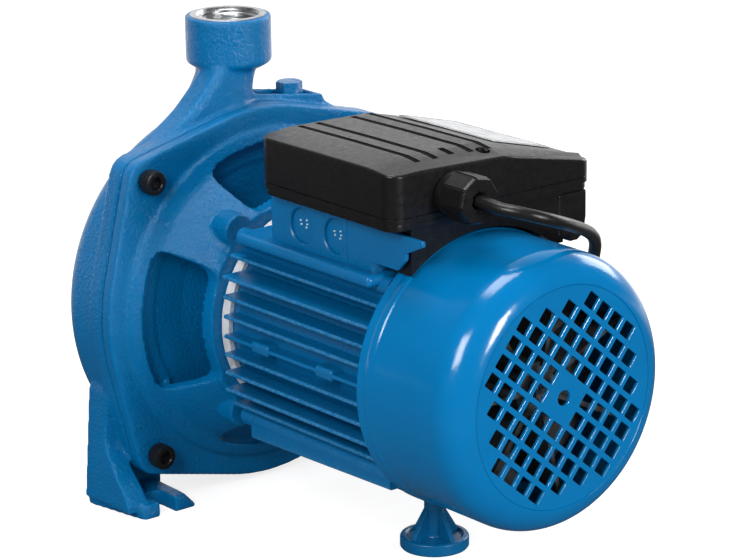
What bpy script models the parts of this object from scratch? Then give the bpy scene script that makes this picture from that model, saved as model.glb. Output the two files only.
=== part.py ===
"""Close-coupled centrifugal surface pump, modelled in metres with +Z up.

The frame's origin lies on the floor under the middle of the pump's length.
+Y runs from the suction port to the fan cover, and +X is to the right of
someone who looks along +Y. Every piece hangs on one of two empties that lie
on the shaft's axis in the plane of the discharge port: pump_centre carries
what stands still, and rotor_axis carries what the motor turns.
"""
from math import acos, atan2, cos, hypot, pi, radians, sin, sqrt

import bmesh
import bpy
from mathutils import Vector

# Clearances
SEAT_GAP = 0.0003
SHAFT_GAP = 0.0008
RUNNING_GAP = 0.005
OVERSHOOT = 0.002

# Step that keeps faces of joined pieces out of one plane
SET_BACK = 0.0001

# The size that sets the pump end: the round flange where casing and bracket meet
FLANGE_RADIUS = 0.1032

# Overall layout, measured from the plane of the discharge port
SHAFT_HEIGHT = FLANGE_RADIUS + 0.0028
SUCTION_REACH = 0.051
COVER_END = 0.268

# Ports, both with a one-inch pipe thread left smooth here
PORT_BORE_RADIUS = 0.01515
PORT_BOSS_RADIUS = 0.0232
PORT_CHAMFER = 0.0020
PORT_EDGE = 0.0012
PORT_BORE_DEPTH = 0.018
PORT_PASSAGE_RADIUS = 0.0125
DISCHARGE_BOSS_LENGTH = 0.024
DISCHARGE_PASSAGE_RADIUS = 0.0105
DISCHARGE_PASSAGE_X = 0.0015

# Front casing
CASING_RADIUS = FLANGE_RADIUS - 0.0017
DISCHARGE_HEIGHT = CASING_RADIUS + 0.0485
CASING_EDGE = 0.016
CASING_FRONT = 0.0215
SEAM_POSITION = 0.020
CASING_FLANGE_THICKNESS = 0.011
FRONT_CONE_RADIUS = CASING_RADIUS - 0.0575
FRONT_CONE_RISE = 0.007
CHAMBER_RADIUS = CASING_RADIUS - 0.0175
CHAMBER_FRONT = 0.0115
REGISTER_RADIUS = CHAMBER_RADIUS + 0.004
REGISTER_DEPTH = 0.005
CASTING_ROOT = CHAMBER_RADIUS + 0.005

# The neck leans towards the volute's outlet: height above the casing's rim, middle and radius
NECK_RINGS = (
    (0.0240, 0.0000, 0.0172),
    (0.0165, 0.0027, 0.0164),
    (0.0105, 0.0052, 0.0170),
    (0.0055, 0.0068, 0.0180),
    (0.0000, 0.0080, 0.0190),
)
# The outlet's sloping back: distance to the side and height above the casing's rim
FAIRING_LINE = ((0.0195, 0.0240), (0.0256, 0.0168), (0.0324, 0.0096), (0.0384, 0.0038), (0.0500, -0.0047))
FAIRING_FRONT = -0.0010
FAIRING_EDGE = 0.0030

# Priming pad beside the neck, with a sunken seat for its plug
PAD_NEAR = 0.004
PAD_FAR = 0.053
PAD_RISE_NEAR = 0.0055
PAD_RISE_FAR = -0.0020
PAD_FRONT = -0.0045
PAD_REAR = 0.0135
PAD_RIM = 0.0020
PAD_DEPTH = 0.0045
PLUG_SEAT_RISE = -0.0023

# Flanges and their four screws
FLANGE_THICKNESS = 0.008
SCREW_OFFSET = 0.7345 * FLANGE_RADIUS
LUG_RADIUS = 0.0115
SCREW_HEAD_RADIUS = 0.0065
SCREW_HEAD_HEIGHT = 0.008
SCREW_HEAD_CHAMFER = 0.0006
SCREW_SOCKET_RADIUS = 0.0035
SCREW_SOCKET_DEPTH = 0.004
SCREW_SHANK_RADIUS = 0.004
SCREW_SHANK_LENGTH = 0.014

# Cast feet, whose legs stand just outside the lugs
FOOT_LEG_INNER = SCREW_OFFSET + LUG_RADIUS + 2 * SEAT_GAP
FOOT_LEG_WIDTH = 0.0086
FOOT_LEG_SPREAD = 0.0054
FOOT_WIDTH = 0.0460
FOOT_INNER_SLOPE = 0.0075
FOOT_FRONT = -0.005
FOOT_REAR = 0.0410
FOOT_PLATE = 0.008
FOOT_WALL = 0.010
FOOT_LEG_TOP = -0.037
FOOT_CORNER = 0.005
FOOT_GUSSET_REAR = 0.0125
FOOT_GUSSET_TOE = 0.0275
FOOT_GUSSET_TOE_RISE = 0.0184
FOOT_GUSSET_BREAK = 0.0355
FOOT_TOP_INSET = 0.0006
FOOT_WALL_INSET = 0.0012
FOOT_WALL_RUN = 0.0048
FOOT_SLOT_WIDTH = 0.010
FOOT_SLOT_INSET = 0.0238
FOOT_SLOT_END = 0.023

# Motor bracket
STEP_RADIUS = FLANGE_RADIUS - 0.0110
SHOULDER_RADIUS = STEP_RADIUS - 0.0098
SHOULDER_POSITION = 0.0346
HUB_RADIUS = SHOULDER_RADIUS - 0.0177
HUB_EDGE_POSITION = 0.0603
HUB_END = 0.0635
HUB_LUG_OFFSET = (HUB_RADIUS - 0.0222, HUB_RADIUS - 0.0152)
HUB_LUG_RADIUS = 0.009
HUB_LUG_FRONT = 0.050
HUB_CHAMFER = 0.0012
FLANGE_CHAMFER = 0.0012
STEP_ROUNDING = ((0.0045, 0.0035), (0.0012, 0.0022))
BRACKET_WALL = 0.006
BACK_WALL_FRONT = 0.0175
BACK_WALL_REAR = 0.0265
SEAL_POCKET_RADIUS = 0.018
SEAL_POCKET_END = 0.036
SEAL_BOSS_RADIUS = 0.024
SEAL_BOSS_END = 0.043
SEAL_BOSS_FLARE = 0.008
SEAL_BOSS_SLOPE = 0.004
BACK_WALL_CONE = 0.022
BACK_WALL_FILLET = 0.004
WINDOW_OUTER_RADIUS = SHOULDER_RADIUS + 0.0021
WINDOW_INNER_RADIUS = HUB_RADIUS - 0.0022
WINDOW_HALF_ANGLE = radians(28)
WINDOW_CORNER = 0.004

# Motor housing
MOTOR_REAR = 0.196
MOTOR_CORE_RADIUS = 0.0535
FIN_FRONT = 0.0717
FIN_REAR = 0.1944
FIN_ENVELOPE_RADIUS = 0.0695
FIN_REACH = 0.061
FIN_THICKNESS = 0.0024
SIDE_FIN_HEIGHTS = (0.0405, 0.0300, 0.0193, 0.0085, -0.0022, -0.0121, -0.0221, -0.0314, -0.0404)
LOWER_FIN_COUNT = 9
LOWER_FIN_PITCH = 0.00985
LOWER_ENVELOPE_RADIUS = 0.0735
LOWER_FIN_REACH = 0.0665
TIE_BAR_OFFSET = (0.0460, 0.0490)
TIE_BAR_RADIUS = 0.005
FIN_PAD_ROW = 4
FIN_PAD_HEIGHT = 0.006
FIN_PAD_LENGTH = 0.0145
FIN_PAD_POSITIONS = (0.102, 0.1548)
FIN_PAD_INNER = 0.050

# Terminal base, box and label plate
BASE_FRONT = 0.100
BASE_REAR = 0.188
BASE_HALF_WIDTH = 0.050
BASE_TOP = 0.0815
BASE_NECK_HALF_WIDTH = 0.036
BASE_NECK_INSET = 0.001
LEDGE_BOTTOM = 0.052
LEDGE_THICKNESS = 0.006
LEDGE_REACH = 0.058
LEDGE_FRONT = 0.077
KNOCKOUT_RADIUS = 0.0095
KNOCKOUT_RAISE = 0.0008
KNOCKOUT_ROOT = 0.002
KNOCKOUT_HEIGHT = 0.067
KNOCKOUT_POSITIONS = (0.129, 0.154)
BOX_FRONT = 0.1035
BOX_REAR = 0.210
BOX_RIGHT = 0.060
BOX_LEFT = 0.0724
BOX_CORNER = 0.008
LID_BOTTOM = 0.0855
LID_TOP = 0.1135
LID_RIGHT_DROP = 0.0017
LID_CREST = 0.040
LID_RIDGE_X = -0.012
LID_RIDGE_DROP = 0.0010
LID_LEFT_DROP = 0.0137
HIP_START = 0.192
HIP_DROP = 0.0035
TRAY_THICKNESS = 0.0035
TRAY_INSET = 0.001
POCKET_LEFT = 0.070
POCKET_FRONT = 0.1145
POCKET_REAR = 0.208
POCKET_BOTTOM = 0.0552
POCKET_CORNER = (0.007, 0.012)
GROOVE_WIDTH = 0.0022
GROOVE_DEPTH = 0.0014
GROOVE_FRONT = 0.105
GROOVE_REAR = 0.201
GROOVE_PLACES = (0.0350, 0.0235, 0.0005, -0.0110)
PLATE_WIDTH = 0.034
PLATE_LENGTH = 0.070
PLATE_MIDDLE = (-0.0465, 0.1450)
PLATE_THICKNESS = 0.0006

# Cable gland
GLAND_X = 0.022
GLAND_Z = 0.096
GLAND_COLLAR_RADIUS = 0.0115
GLAND_COLLAR_LENGTH = 0.004
GLAND_NUT_RADIUS = 0.0128
GLAND_NUT_LENGTH = 0.0165
GLAND_NUT_TAPER = (0.0022, 0.003)
GLAND_SIDES = 32
GLAND_FLUTES = 8
GLAND_FLUTE_RADIUS = 0.0024
GLAND_FLUTE_OFFSET = 0.0012

# Fan cover and its end shield
COVER_FRONT = 0.195
COVER_RADIUS = 0.0715
COVER_RIM_RADIUS = 0.0723
COVER_RIM_LENGTH = 0.010
COVER_RIM_CHAMFER = 0.0008
COVER_WALL = 0.0022
COVER_EDGE = 0.018
DISC_RADIUS = 0.0565
DISC_STEP = 0.0006
GRILLE_PITCH = 0.01042
GRILLE_HOLE = 0.0076
GRILLE_ANGLE = radians(40)
GRILLE_CENTRE_HOLE_RADIUS = 0.004
GRILLE_FIRST_COLUMNS = (3, 2, 1, 0, 0, 0, 0, 1, 2, 3)
SHIELD_FRONT = 0.1965
SHIELD_THICKNESS = 0.011
SHIELD_RADIUS = 0.060
SHIELD_EAR_WIDTH = 0.014
SHIELD_BOSS_RADIUS = 0.022
SHIELD_BOSS_LENGTH = 0.006

# Rear support foot
SUPPORT_POSITION = 0.1685
SUPPORT_PAD_RADIUS = 0.018
SUPPORT_PAD_HEIGHT = 0.0065
SUPPORT_PAD_CORE = 0.0099
SUPPORT_PAD_GROOVE = (0.0108, 0.0135)
SUPPORT_PAD_RIM = 0.0144
SUPPORT_GROOVE_DEPTH = 0.0015
SUPPORT_PAD_EDGE = 0.001
SUPPORT_SOLE_EDGE = 0.0005
SUPPORT_GUSSET_RISE = 0.7
SUPPORT_STEM_RADIUS = 0.0048
SUPPORT_GUSSET_THICKNESS = 0.003
SUPPORT_BOSS_SIZE = 0.016
SUPPORT_BOSS_BOTTOM = -0.070

# Rotor
SHAFT_RADIUS = 0.0085
SHAFT_NOSE_RADIUS = 0.006
SHAFT_TAIL_RADIUS = 0.006
SHAFT_START = -0.010
SHAFT_END = 0.254
SHAFT_CHAMFER = 0.0005
IMPELLER_RADIUS = CHAMBER_RADIUS - 0.009
IMPELLER_FRONT = -0.0060
IMPELLER_BACK = 0.0115
IMPELLER_SHROUD = 0.0025
IMPELLER_HUB_RADIUS = 0.013
IMPELLER_EYE_RADIUS = 0.016
VANE_COUNT = 6
VANE_THICKNESS = 0.003
VANE_SWEEP = radians(75)
VANE_SLANT = radians(35)
VANE_START = 0.006
VANE_STEPS = 8
HUB_CONE = 0.004
HUB_NOSE = 0.003
HUB_NOSE_INSET = 0.001
NUT_RADIUS = 0.0085
NUT_LENGTH = 0.007
SEAL_RING_RADIUS = 0.0125
SEAL_RING_STEP = (0.002, 0.003)
SEAL_SEAT_LENGTH = 0.006
SLINGER_RADIUS = 0.014
SLINGER_POSITION = 0.0485
SLINGER_THICKNESS = 0.003
FAN_RADIUS = 0.060
FAN_FRONT = 0.222
FAN_REAR = 0.250
FAN_HUB_RADIUS = 0.014
FAN_DISC_THICKNESS = 0.0025
FAN_BLADE_THICKNESS = 0.0025
FAN_BLADE_COUNT = 7

# Plugs
HEX_PLUG_RADIUS = 0.0074
HEX_PLUG_HEIGHT = 0.0072
PLUG_COLLAR_RADIUS = 0.0062
PLUG_COLLAR_HEIGHT = 0.0015
PLUG_EDGE = 0.0008
PRIMING_X = -0.037
PRIMING_Y = 0.0045
DRAIN_HEIGHT = CASING_EDGE + PLUG_COLLAR_RADIUS + 0.0028 - CASING_RADIUS

# Supply cable
CABLE_RADIUS = 0.00325
CABLE_POINT_COUNT = 46
COIL_CENTRE = (-0.128, 0.090)
COIL_MID_RADIUS = 0.036
COIL_LAYERS = 3
COIL_TURNS_ACROSS = 2
CABLE_SIDES_RESOLUTION = 1
COIL_LIFT = 0.0002
COIL_EDGE = 0.6 * CABLE_RADIUS

# Plug
PLUG_LENGTH = 0.036
PLUG_FACE_RADIUS = 0.018
PLUG_FACE_LENGTH = 0.010
PLUG_FACE_CHAMFER = 0.0005
PLUG_GRIP_RADIUS = 0.0125
PLUG_GRIP_END = 0.014
PLUG_TAPER = ((0.0070, 0.006), (0.0055, 0))
PLUG_SIDES = 32
PIN_RADIUS = 0.0024
PIN_LENGTH = 0.019
PIN_OFFSET = 0.0095

# Rounding of the round pieces
LARGE_SIDES = 40
MEDIUM_SIDES = 24
SMALL_SIDES = 16
SHADE_ANGLE = radians(32)

PORT_PLANE = (SUCTION_REACH - COVER_END) / 2

FACE_PLUS_Y = (radians(-90), 0, 0)
FACE_MINUS_Y = (radians(90), 0, 0)
STAND_ON_Y = (radians(90), 0, 0)
FACE_PLUS_X = (0, radians(90), 0)


# Scene and materials

def clear_scene():
    for item in list(bpy.data.objects):
        bpy.data.objects.remove(item)


def add_collection(name):
    group = bpy.data.collections.new(name)
    bpy.context.scene.collection.children.link(group)
    return group


clear_scene()
PARTS = add_collection("surface_pump")
CUTTERS = add_collection("cutters")
GUIDES = add_collection("guides")


def add_empty(name):
    empty = bpy.data.objects.new(name, None)
    empty.location = (0, PORT_PLANE, SHAFT_HEIGHT)
    empty.empty_display_size = SUCTION_REACH / 2
    GUIDES.objects.link(empty)
    return empty


PUMP_CENTRE = add_empty("pump_centre")
ROTOR_AXIS = add_empty("rotor_axis")


def material(name, colour, roughness, metallic=0.0):
    made = bpy.data.materials.new(name)
    made.use_nodes = True
    shader = made.node_tree.nodes["Principled BSDF"]
    shader.inputs["Base Color"].default_value = (*colour, 1)
    shader.inputs["Roughness"].default_value = roughness
    shader.inputs["Metallic"].default_value = metallic
    made.diffuse_color = (*colour, 1)
    return made


def blue_cast_iron():
    return material("blue_cast_iron", (0.0, 0.155, 0.43), 0.32)


def blue_motor_paint():
    return material("blue_motor_paint", (0.0, 0.150, 0.42), 0.36)


def blue_cover_paint():
    return material("blue_cover_paint", (0.0, 0.160, 0.45), 0.18)


def blue_plastic():
    return material("blue_plastic", (0.0, 0.150, 0.40), 0.30)


def black_plastic():
    return material("black_plastic", (0.014, 0.013, 0.014), 0.42)


def black_oxide():
    return material("black_oxide_steel", (0.016, 0.015, 0.015), 0.35, 0.6)


def bright_steel():
    return material("bright_steel", (0.62, 0.62, 0.62), 0.25, 1.0)


def brass():
    return material("brass", (0.66, 0.47, 0.20), 0.3, 1.0)


def black_rubber():
    return material("black_rubber", (0.012, 0.012, 0.012), 0.6)


def label_silver():
    return material("label_silver", (0.60, 0.61, 0.62), 0.35, 0.4)


def grey_polymer():
    return material("grey_polymer", (0.09, 0.10, 0.11), 0.5)


# Building blocks

def place(item, finish=None, rotor=False):
    """File a finished piece, or a cutter when it has no finish."""
    group = CUTTERS if finish is None else PARTS
    group.objects.link(item)
    item.parent = ROTOR_AXIS if rotor else PUMP_CENTRE
    if finish is None:
        item.hide_render = True
        item.display_type = "WIRE"
    else:
        item.data.materials.clear()
        item.data.materials.append(finish)
        item.data.shade_smooth()
        item.data.set_sharp_from_angle(angle=SHADE_ANGLE)
    return item


def mesh_object(name, shape, location=(0, 0, 0), rotation=(0, 0, 0)):
    mesh = bpy.data.meshes.new(name)
    shape.to_mesh(mesh)
    shape.free()
    item = bpy.data.objects.new(name, mesh)
    item.location = location
    item.rotation_euler = rotation
    return item


def box(name, low, high):
    """A block between two opposite corners."""
    shape = bmesh.new()
    bmesh.ops.create_cube(shape, size=1)
    size = [b - a for a, b in zip(low, high)]
    middle = [(a + b) / 2 for a, b in zip(low, high)]
    bmesh.ops.scale(shape, vec=size, verts=shape.verts)
    return mesh_object(name, shape, middle)


def rod(name, radius, length, start, rotation, sides=SMALL_SIDES):
    """A cylinder that runs from its start along its own +Z."""
    shape = bmesh.new()
    bmesh.ops.create_cone(
        shape, cap_ends=True, segments=sides, radius1=radius, radius2=radius, depth=length)
    bmesh.ops.translate(shape, vec=(0, 0, length / 2), verts=shape.verts)
    return mesh_object(name, shape, start, rotation)


def turned(name, profile, sides, location=(0, 0, 0), rotation=FACE_PLUS_Y, closed=False):
    """Turn (radius, height) points, listed down the outer side, about the piece's own Z."""
    shape = bmesh.new()
    points = [shape.verts.new((radius, 0, height)) for radius, height in profile]
    for first, second in zip(points, points[1:]):
        shape.edges.new((first, second))
    if closed:
        shape.edges.new((points[-1], points[0]))
    item = mesh_object(name, shape, location, rotation)
    screw = item.modifiers.new("turn", "SCREW")
    screw.axis = "Z"
    screw.angle = 2 * pi
    screw.steps = sides
    screw.render_steps = sides
    screw.use_merge_vertices = True
    screw.merge_threshold = 0.00001
    screw.use_smooth_shade = True
    return item


def loft(name, rings, location=(0, 0, 0), rotation=(0, 0, 0)):
    """A closed body through rings of points, each with the same count, from bottom to top."""
    shape = bmesh.new()
    made = [[shape.verts.new(point) for point in ring] for ring in rings]
    shape.faces.new(made[0][::-1])
    shape.faces.new(made[-1])
    for low, high in zip(made, made[1:]):
        for index in range(len(low)):
            following = (index + 1) % len(low)
            shape.faces.new((low[index], low[following], high[following], high[index]))
    bmesh.ops.recalc_face_normals(shape, faces=shape.faces)
    return mesh_object(name, shape, location, rotation)


def to_mesh_object(curve_item, name):
    """Swap a curve object for a welded mesh object."""
    bpy.context.scene.collection.objects.link(curve_item)
    bpy.context.view_layer.update()
    seen = curve_item.evaluated_get(bpy.context.evaluated_depsgraph_get())
    mesh = bpy.data.meshes.new_from_object(seen)
    shape = bmesh.new()
    shape.from_mesh(mesh)
    bmesh.ops.remove_doubles(shape, verts=shape.verts, dist=0.000001)
    bmesh.ops.recalc_face_normals(shape, faces=shape.faces)
    shape.to_mesh(mesh)
    shape.free()
    item = bpy.data.objects.new(name, mesh)
    item.matrix_world = curve_item.matrix_world
    bpy.data.objects.remove(curve_item)
    return item


def plate(name, outline, thickness, location=(0, 0, 0), rotation=(0, 0, 0)):
    """A flat outline, thick along its own +Z from the location."""
    curve = bpy.data.curves.new(name, "CURVE")
    curve.dimensions = "2D"
    curve.fill_mode = "BOTH"
    curve.extrude = thickness / 2
    spline = curve.splines.new("POLY")
    spline.points.add(len(outline) - 1)
    for point, (x, y) in zip(spline.points, outline):
        point.co = (x, y, 0, 1)
    spline.use_cyclic_u = True
    item = to_mesh_object(bpy.data.objects.new(f"{name}_outline", curve), name)
    for vertex in item.data.vertices:
        vertex.co.z += thickness / 2
    item.location = location
    item.rotation_euler = rotation
    return item


def upright_plate(name, outline, front, rear):
    """An outline in X and Z that fills the length from front to rear."""
    return plate(name, outline, rear - front, (0, rear, 0), STAND_ON_Y)


def combine(target, tool, operation):
    step = target.modifiers.new(f"{operation.lower()}_{tool.name}", "BOOLEAN")
    step.operation = operation
    step.solver = "EXACT"
    step.object = tool


def add(target, tool, rotor=False):
    combine(target, place(tool, rotor=rotor), "UNION")


def cut(target, tool, rotor=False):
    combine(target, place(tool, rotor=rotor), "DIFFERENCE")


def soften(item, width, segments=2, angle=radians(40)):
    bevel = item.modifiers.new("edge", "BEVEL")
    bevel.width = width
    bevel.segments = segments
    bevel.limit_method = "ANGLE"
    bevel.angle_limit = angle
    bevel.use_clamp_overlap = True


# Outlines

def arc(centre, radius, start, end, steps):
    """Points on an arc, both ends included."""
    x, y = centre
    angles = [start + (end - start) * step / steps for step in range(steps + 1)]
    return [(x + radius * cos(angle), y + radius * sin(angle)) for angle in angles]


def hull(points):
    """The convex outline around a set of points, counter-clockwise."""
    ordered = sorted(set((round(x, 7), round(y, 7)) for x, y in points))

    def half(sequence):
        chain = []
        for point in sequence:
            while len(chain) > 1 and turn(chain[-2], chain[-1], point) <= 0:
                chain.pop()
            chain.append(point)
        return chain[:-1]

    return half(ordered) + half(reversed(ordered))


def turn(a, b, c):
    return (b[0] - a[0]) * (c[1] - a[1]) - (b[1] - a[1]) * (c[0] - a[0])


def flange_outline(radius):
    """The round flange with its four screw lugs, joined by straight tangents."""
    points = arc((0, 0), radius, 0, 2 * pi, LARGE_SIDES)
    for side_x in (-1, 1):
        for side_z in (-1, 1):
            centre = (side_x * SCREW_OFFSET, side_z * SCREW_OFFSET)
            points += arc(centre, LUG_RADIUS, 0, 2 * pi, 12)
    return hull(points)


def rounded_outline(corners, radius, steps=4):
    """A polygon whose corners are rounded by an arc."""
    outline = []
    count = len(corners)
    for index, corner in enumerate(corners):
        here = Vector(corner)
        before = (Vector(corners[index - 1]) - here).normalized()
        after = (Vector(corners[(index + 1) % count]) - here).normalized()
        half_angle = before.angle(after) / 2
        middle = here + (before + after).normalized() * radius / sin(half_angle)
        start = here + before * radius * cos(half_angle) / sin(half_angle) - middle
        end = here + after * radius * cos(half_angle) / sin(half_angle) - middle
        first = atan2(start.y, start.x)
        sweep = atan2(end.y, end.x) - first
        sweep = (sweep + pi) % (2 * pi) - pi
        outline += arc(middle, radius, first, first + sweep, steps)
    return outline


def sector_outline(inner, outer, middle_angle, half_angle, corner):
    """A window between two radii, with its corners rounded."""
    points = []
    for radius, shift, way in ((outer, -corner, 1), (inner, corner, -1)):
        reach = half_angle - corner / radius
        first = middle_angle - way * half_angle
        last = middle_angle + way * half_angle
        side = radius + shift
        points.append((side * cos(first), side * sin(first)))
        points += arc((0, 0), radius, middle_angle - way * reach, middle_angle + way * reach, 8)
        points.append((side * cos(last), side * sin(last)))
    return points


# Front casing

def casing_profile():
    """The casing's outer form from the seam to the suction port."""
    arc_start = -(CASING_FRONT - CASING_EDGE)
    edge = arc((CASING_RADIUS - CASING_EDGE, arc_start), CASING_EDGE, 0, -pi / 2, 4)
    cone_front = -(CASING_FRONT + FRONT_CONE_RISE)
    port_face = -SUCTION_REACH
    inside_flange = SEAM_POSITION - CASING_FLANGE_THICKNESS / 2
    return [
        (0, inside_flange),
        (CASING_RADIUS, inside_flange),
        *edge,
        (FRONT_CONE_RADIUS + FRONT_CONE_RISE * 3, -CASING_FRONT),
        (FRONT_CONE_RADIUS, cone_front + FRONT_CONE_RISE / 3),
        (PORT_BOSS_RADIUS + PORT_CHAMFER, cone_front),
        (PORT_BOSS_RADIUS, cone_front - PORT_CHAMFER),
        (PORT_BOSS_RADIUS, port_face + PORT_EDGE),
        (PORT_BOSS_RADIUS - PORT_EDGE, port_face),
        (0, port_face),
    ]


def chamber_profile():
    """The room for the impeller with the suction bore in front of it."""
    bore_end = -SUCTION_REACH + PORT_BORE_DEPTH
    corner = RUNNING_GAP
    return [
        (0, SEAM_POSITION + OVERSHOOT),
        (REGISTER_RADIUS, SEAM_POSITION + OVERSHOOT),
        (REGISTER_RADIUS, SEAM_POSITION - REGISTER_DEPTH),
        (CHAMBER_RADIUS, SEAM_POSITION - REGISTER_DEPTH),
        (CHAMBER_RADIUS, -CHAMBER_FRONT + corner),
        (CHAMBER_RADIUS - corner / 3, -CHAMBER_FRONT + corner / 3),
        (CHAMBER_RADIUS - corner, -CHAMBER_FRONT),
        (PORT_PASSAGE_RADIUS, -CHAMBER_FRONT),
        (PORT_PASSAGE_RADIUS, bore_end),
        (PORT_BORE_RADIUS, bore_end - PORT_CHAMFER),
        (PORT_BORE_RADIUS, -SUCTION_REACH + PORT_CHAMFER),
        (PORT_BORE_RADIUS + PORT_CHAMFER + OVERSHOOT, -SUCTION_REACH - OVERSHOOT),
        (0, -SUCTION_REACH - OVERSHOOT),
    ]


def discharge_neck():
    """The leaning neck that flares into the casing's rim."""
    rings = []
    for rise, middle, radius in reversed(NECK_RINGS):
        height = CASING_RADIUS + rise
        rings.append([(x, y, height) for x, y in arc((middle, 0), radius, 0, 2 * pi, MEDIUM_SIDES)[:-1]])
    root = [(x, y, CASTING_ROOT) for x, y, _ in rings[0]]
    return loft("discharge_neck", [root, *rings])


def discharge_boss():
    """The round boss around the discharge bore."""
    boss_bottom = DISCHARGE_HEIGHT - DISCHARGE_BOSS_LENGTH
    rise, _, neck_radius = NECK_RINGS[0]
    return turned("discharge_boss", [
        (0, DISCHARGE_HEIGHT),
        (PORT_BOSS_RADIUS - PORT_EDGE, DISCHARGE_HEIGHT),
        (PORT_BOSS_RADIUS, DISCHARGE_HEIGHT - PORT_EDGE),
        (PORT_BOSS_RADIUS, boss_bottom),
        (neck_radius + PORT_EDGE / 2, CASING_RADIUS + rise - PORT_EDGE / 2),
        (0, CASING_RADIUS + rise - PORT_EDGE / 2),
    ], MEDIUM_SIDES, rotation=(0, 0, 0))


def discharge_bore():
    """The threaded bore under the discharge face."""
    bore_end = DISCHARGE_HEIGHT - PORT_BORE_DEPTH
    return turned("discharge_bore", [
        (0, DISCHARGE_HEIGHT + OVERSHOOT),
        (PORT_BORE_RADIUS + PORT_CHAMFER + OVERSHOOT, DISCHARGE_HEIGHT + OVERSHOOT),
        (PORT_BORE_RADIUS, DISCHARGE_HEIGHT - PORT_CHAMFER),
        (PORT_BORE_RADIUS, bore_end + PORT_CHAMFER),
        (PORT_PASSAGE_RADIUS, bore_end),
        (0, bore_end),
    ], MEDIUM_SIDES, rotation=(0, 0, 0))


def discharge_passage():
    """The way from the chamber up to the discharge bore."""
    start = CHAMBER_RADIUS - RUNNING_GAP
    length = DISCHARGE_HEIGHT - PORT_BORE_DEPTH + PORT_CHAMFER - start
    return rod(
        "discharge_passage", DISCHARGE_PASSAGE_RADIUS, length, (DISCHARGE_PASSAGE_X, 0, start),
        (0, 0, 0), MEDIUM_SIDES)


def outlet_fairing():
    """The slope from the neck to the upper right lug, over the volute's outlet."""
    diagonal = CASTING_ROOT / sqrt(2)
    outline = [
        (0, CASING_RADIUS + FAIRING_LINE[0][1]),
        (0, CASTING_ROOT),
        (diagonal, diagonal),
        (SCREW_OFFSET + LUG_RADIUS / 2, SCREW_OFFSET),
        (SCREW_OFFSET, SCREW_OFFSET + LUG_RADIUS / 2),
        *[(across, CASING_RADIUS + rise) for across, rise in reversed(FAIRING_LINE)],
    ]
    fairing = upright_plate("outlet_fairing", outline, FAIRING_FRONT, SEAM_POSITION - OVERSHOOT)
    soften(fairing, FAIRING_EDGE)
    return fairing


def priming_pad():
    """The sloping pad for the priming plug, beside the neck."""
    outline = [
        (0, CASING_RADIUS + PAD_RISE_NEAR),
        (-PAD_NEAR, CASING_RADIUS + PAD_RISE_NEAR),
        (-PAD_FAR, CASING_RADIUS + PAD_RISE_FAR),
        (-PAD_FAR - PAD_RIM, CASING_RADIUS + PAD_RISE_FAR - 2 * PAD_RIM),
        (-SCREW_OFFSET, SCREW_OFFSET + LUG_RADIUS / 2),
        (-SCREW_OFFSET, SCREW_OFFSET),
        (0, CASTING_ROOT),
    ]
    return upright_plate("priming_pad", outline, PAD_FRONT, PAD_REAR)


def pad_pocket():
    """The sunken floor inside the pad's rim, with a round seat left standing for the plug."""
    slope = (PAD_RISE_NEAR - PAD_RISE_FAR) / (PAD_FAR - PAD_NEAR)
    near = -PAD_NEAR - PAD_RIM
    far = -PAD_FAR + PAD_RIM
    over = 4 * PAD_DEPTH
    near_top = CASING_RADIUS + PAD_RISE_NEAR - slope * PAD_RIM
    far_top = CASING_RADIUS + PAD_RISE_FAR + slope * PAD_RIM
    outline = [
        (near, near_top - PAD_DEPTH), (near, near_top + over),
        (far, far_top + over), (far, far_top - PAD_DEPTH),
    ]
    pocket = upright_plate("pad_pocket", outline, PAD_FRONT + PAD_RIM, PAD_REAR - PAD_RIM)
    seat_top = CASING_RADIUS + PLUG_SEAT_RISE
    cut(pocket, rod(
        "plug_seat", PLUG_COLLAR_RADIUS, seat_top - CASTING_ROOT, (PRIMING_X, PRIMING_Y, CASTING_ROOT),
        (0, 0, 0), MEDIUM_SIDES))
    return pocket


def foot_rings(side):
    """Corners of a foot's sole and of its top, seen from above."""
    outer = FOOT_LEG_INNER + FOOT_LEG_WIDTH + FOOT_LEG_SPREAD
    inner = outer - FOOT_WIDTH
    rear_outer = outer - 2 * FOOT_CORNER + OVERSHOOT
    rings = []
    for height, slope, lean in ((0, 0, 0), (FOOT_PLATE, FOOT_INNER_SLOPE, FOOT_TOP_INSET)):
        corners = [
            (side * (inner + slope), FOOT_FRONT),
            (side * (outer - lean), FOOT_FRONT),
            (side * (rear_outer - lean), FOOT_REAR - lean),
            (side * (inner + slope + OVERSHOOT), FOOT_REAR - lean),
        ]
        outline = rounded_outline(corners, FOOT_CORNER)
        rings.append([(x, y, height - SHAFT_HEIGHT) for x, y in outline])
    return rings


def foot_base(side):
    """The flat base of one foot, its inner side sloping to the floor."""
    return loft(f"foot_base_{side}", foot_rings(side))


def leg_outline(side, inner, top_inner, rise):
    """A leg seen from the front, its outer side spreading towards the floor."""
    outer = FOOT_LEG_INNER + FOOT_LEG_WIDTH
    low = -SHAFT_HEIGHT + FOOT_PLATE / 2
    return [
        (side * inner, low),
        (side * (outer + FOOT_LEG_SPREAD - FOOT_TOP_INSET), low),
        (side * outer, FOOT_LEG_TOP - FOOT_CORNER),
        (side * (outer - FOOT_CORNER / 2), FOOT_LEG_TOP),
        (side * top_inner, FOOT_LEG_TOP + rise),
    ]


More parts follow.
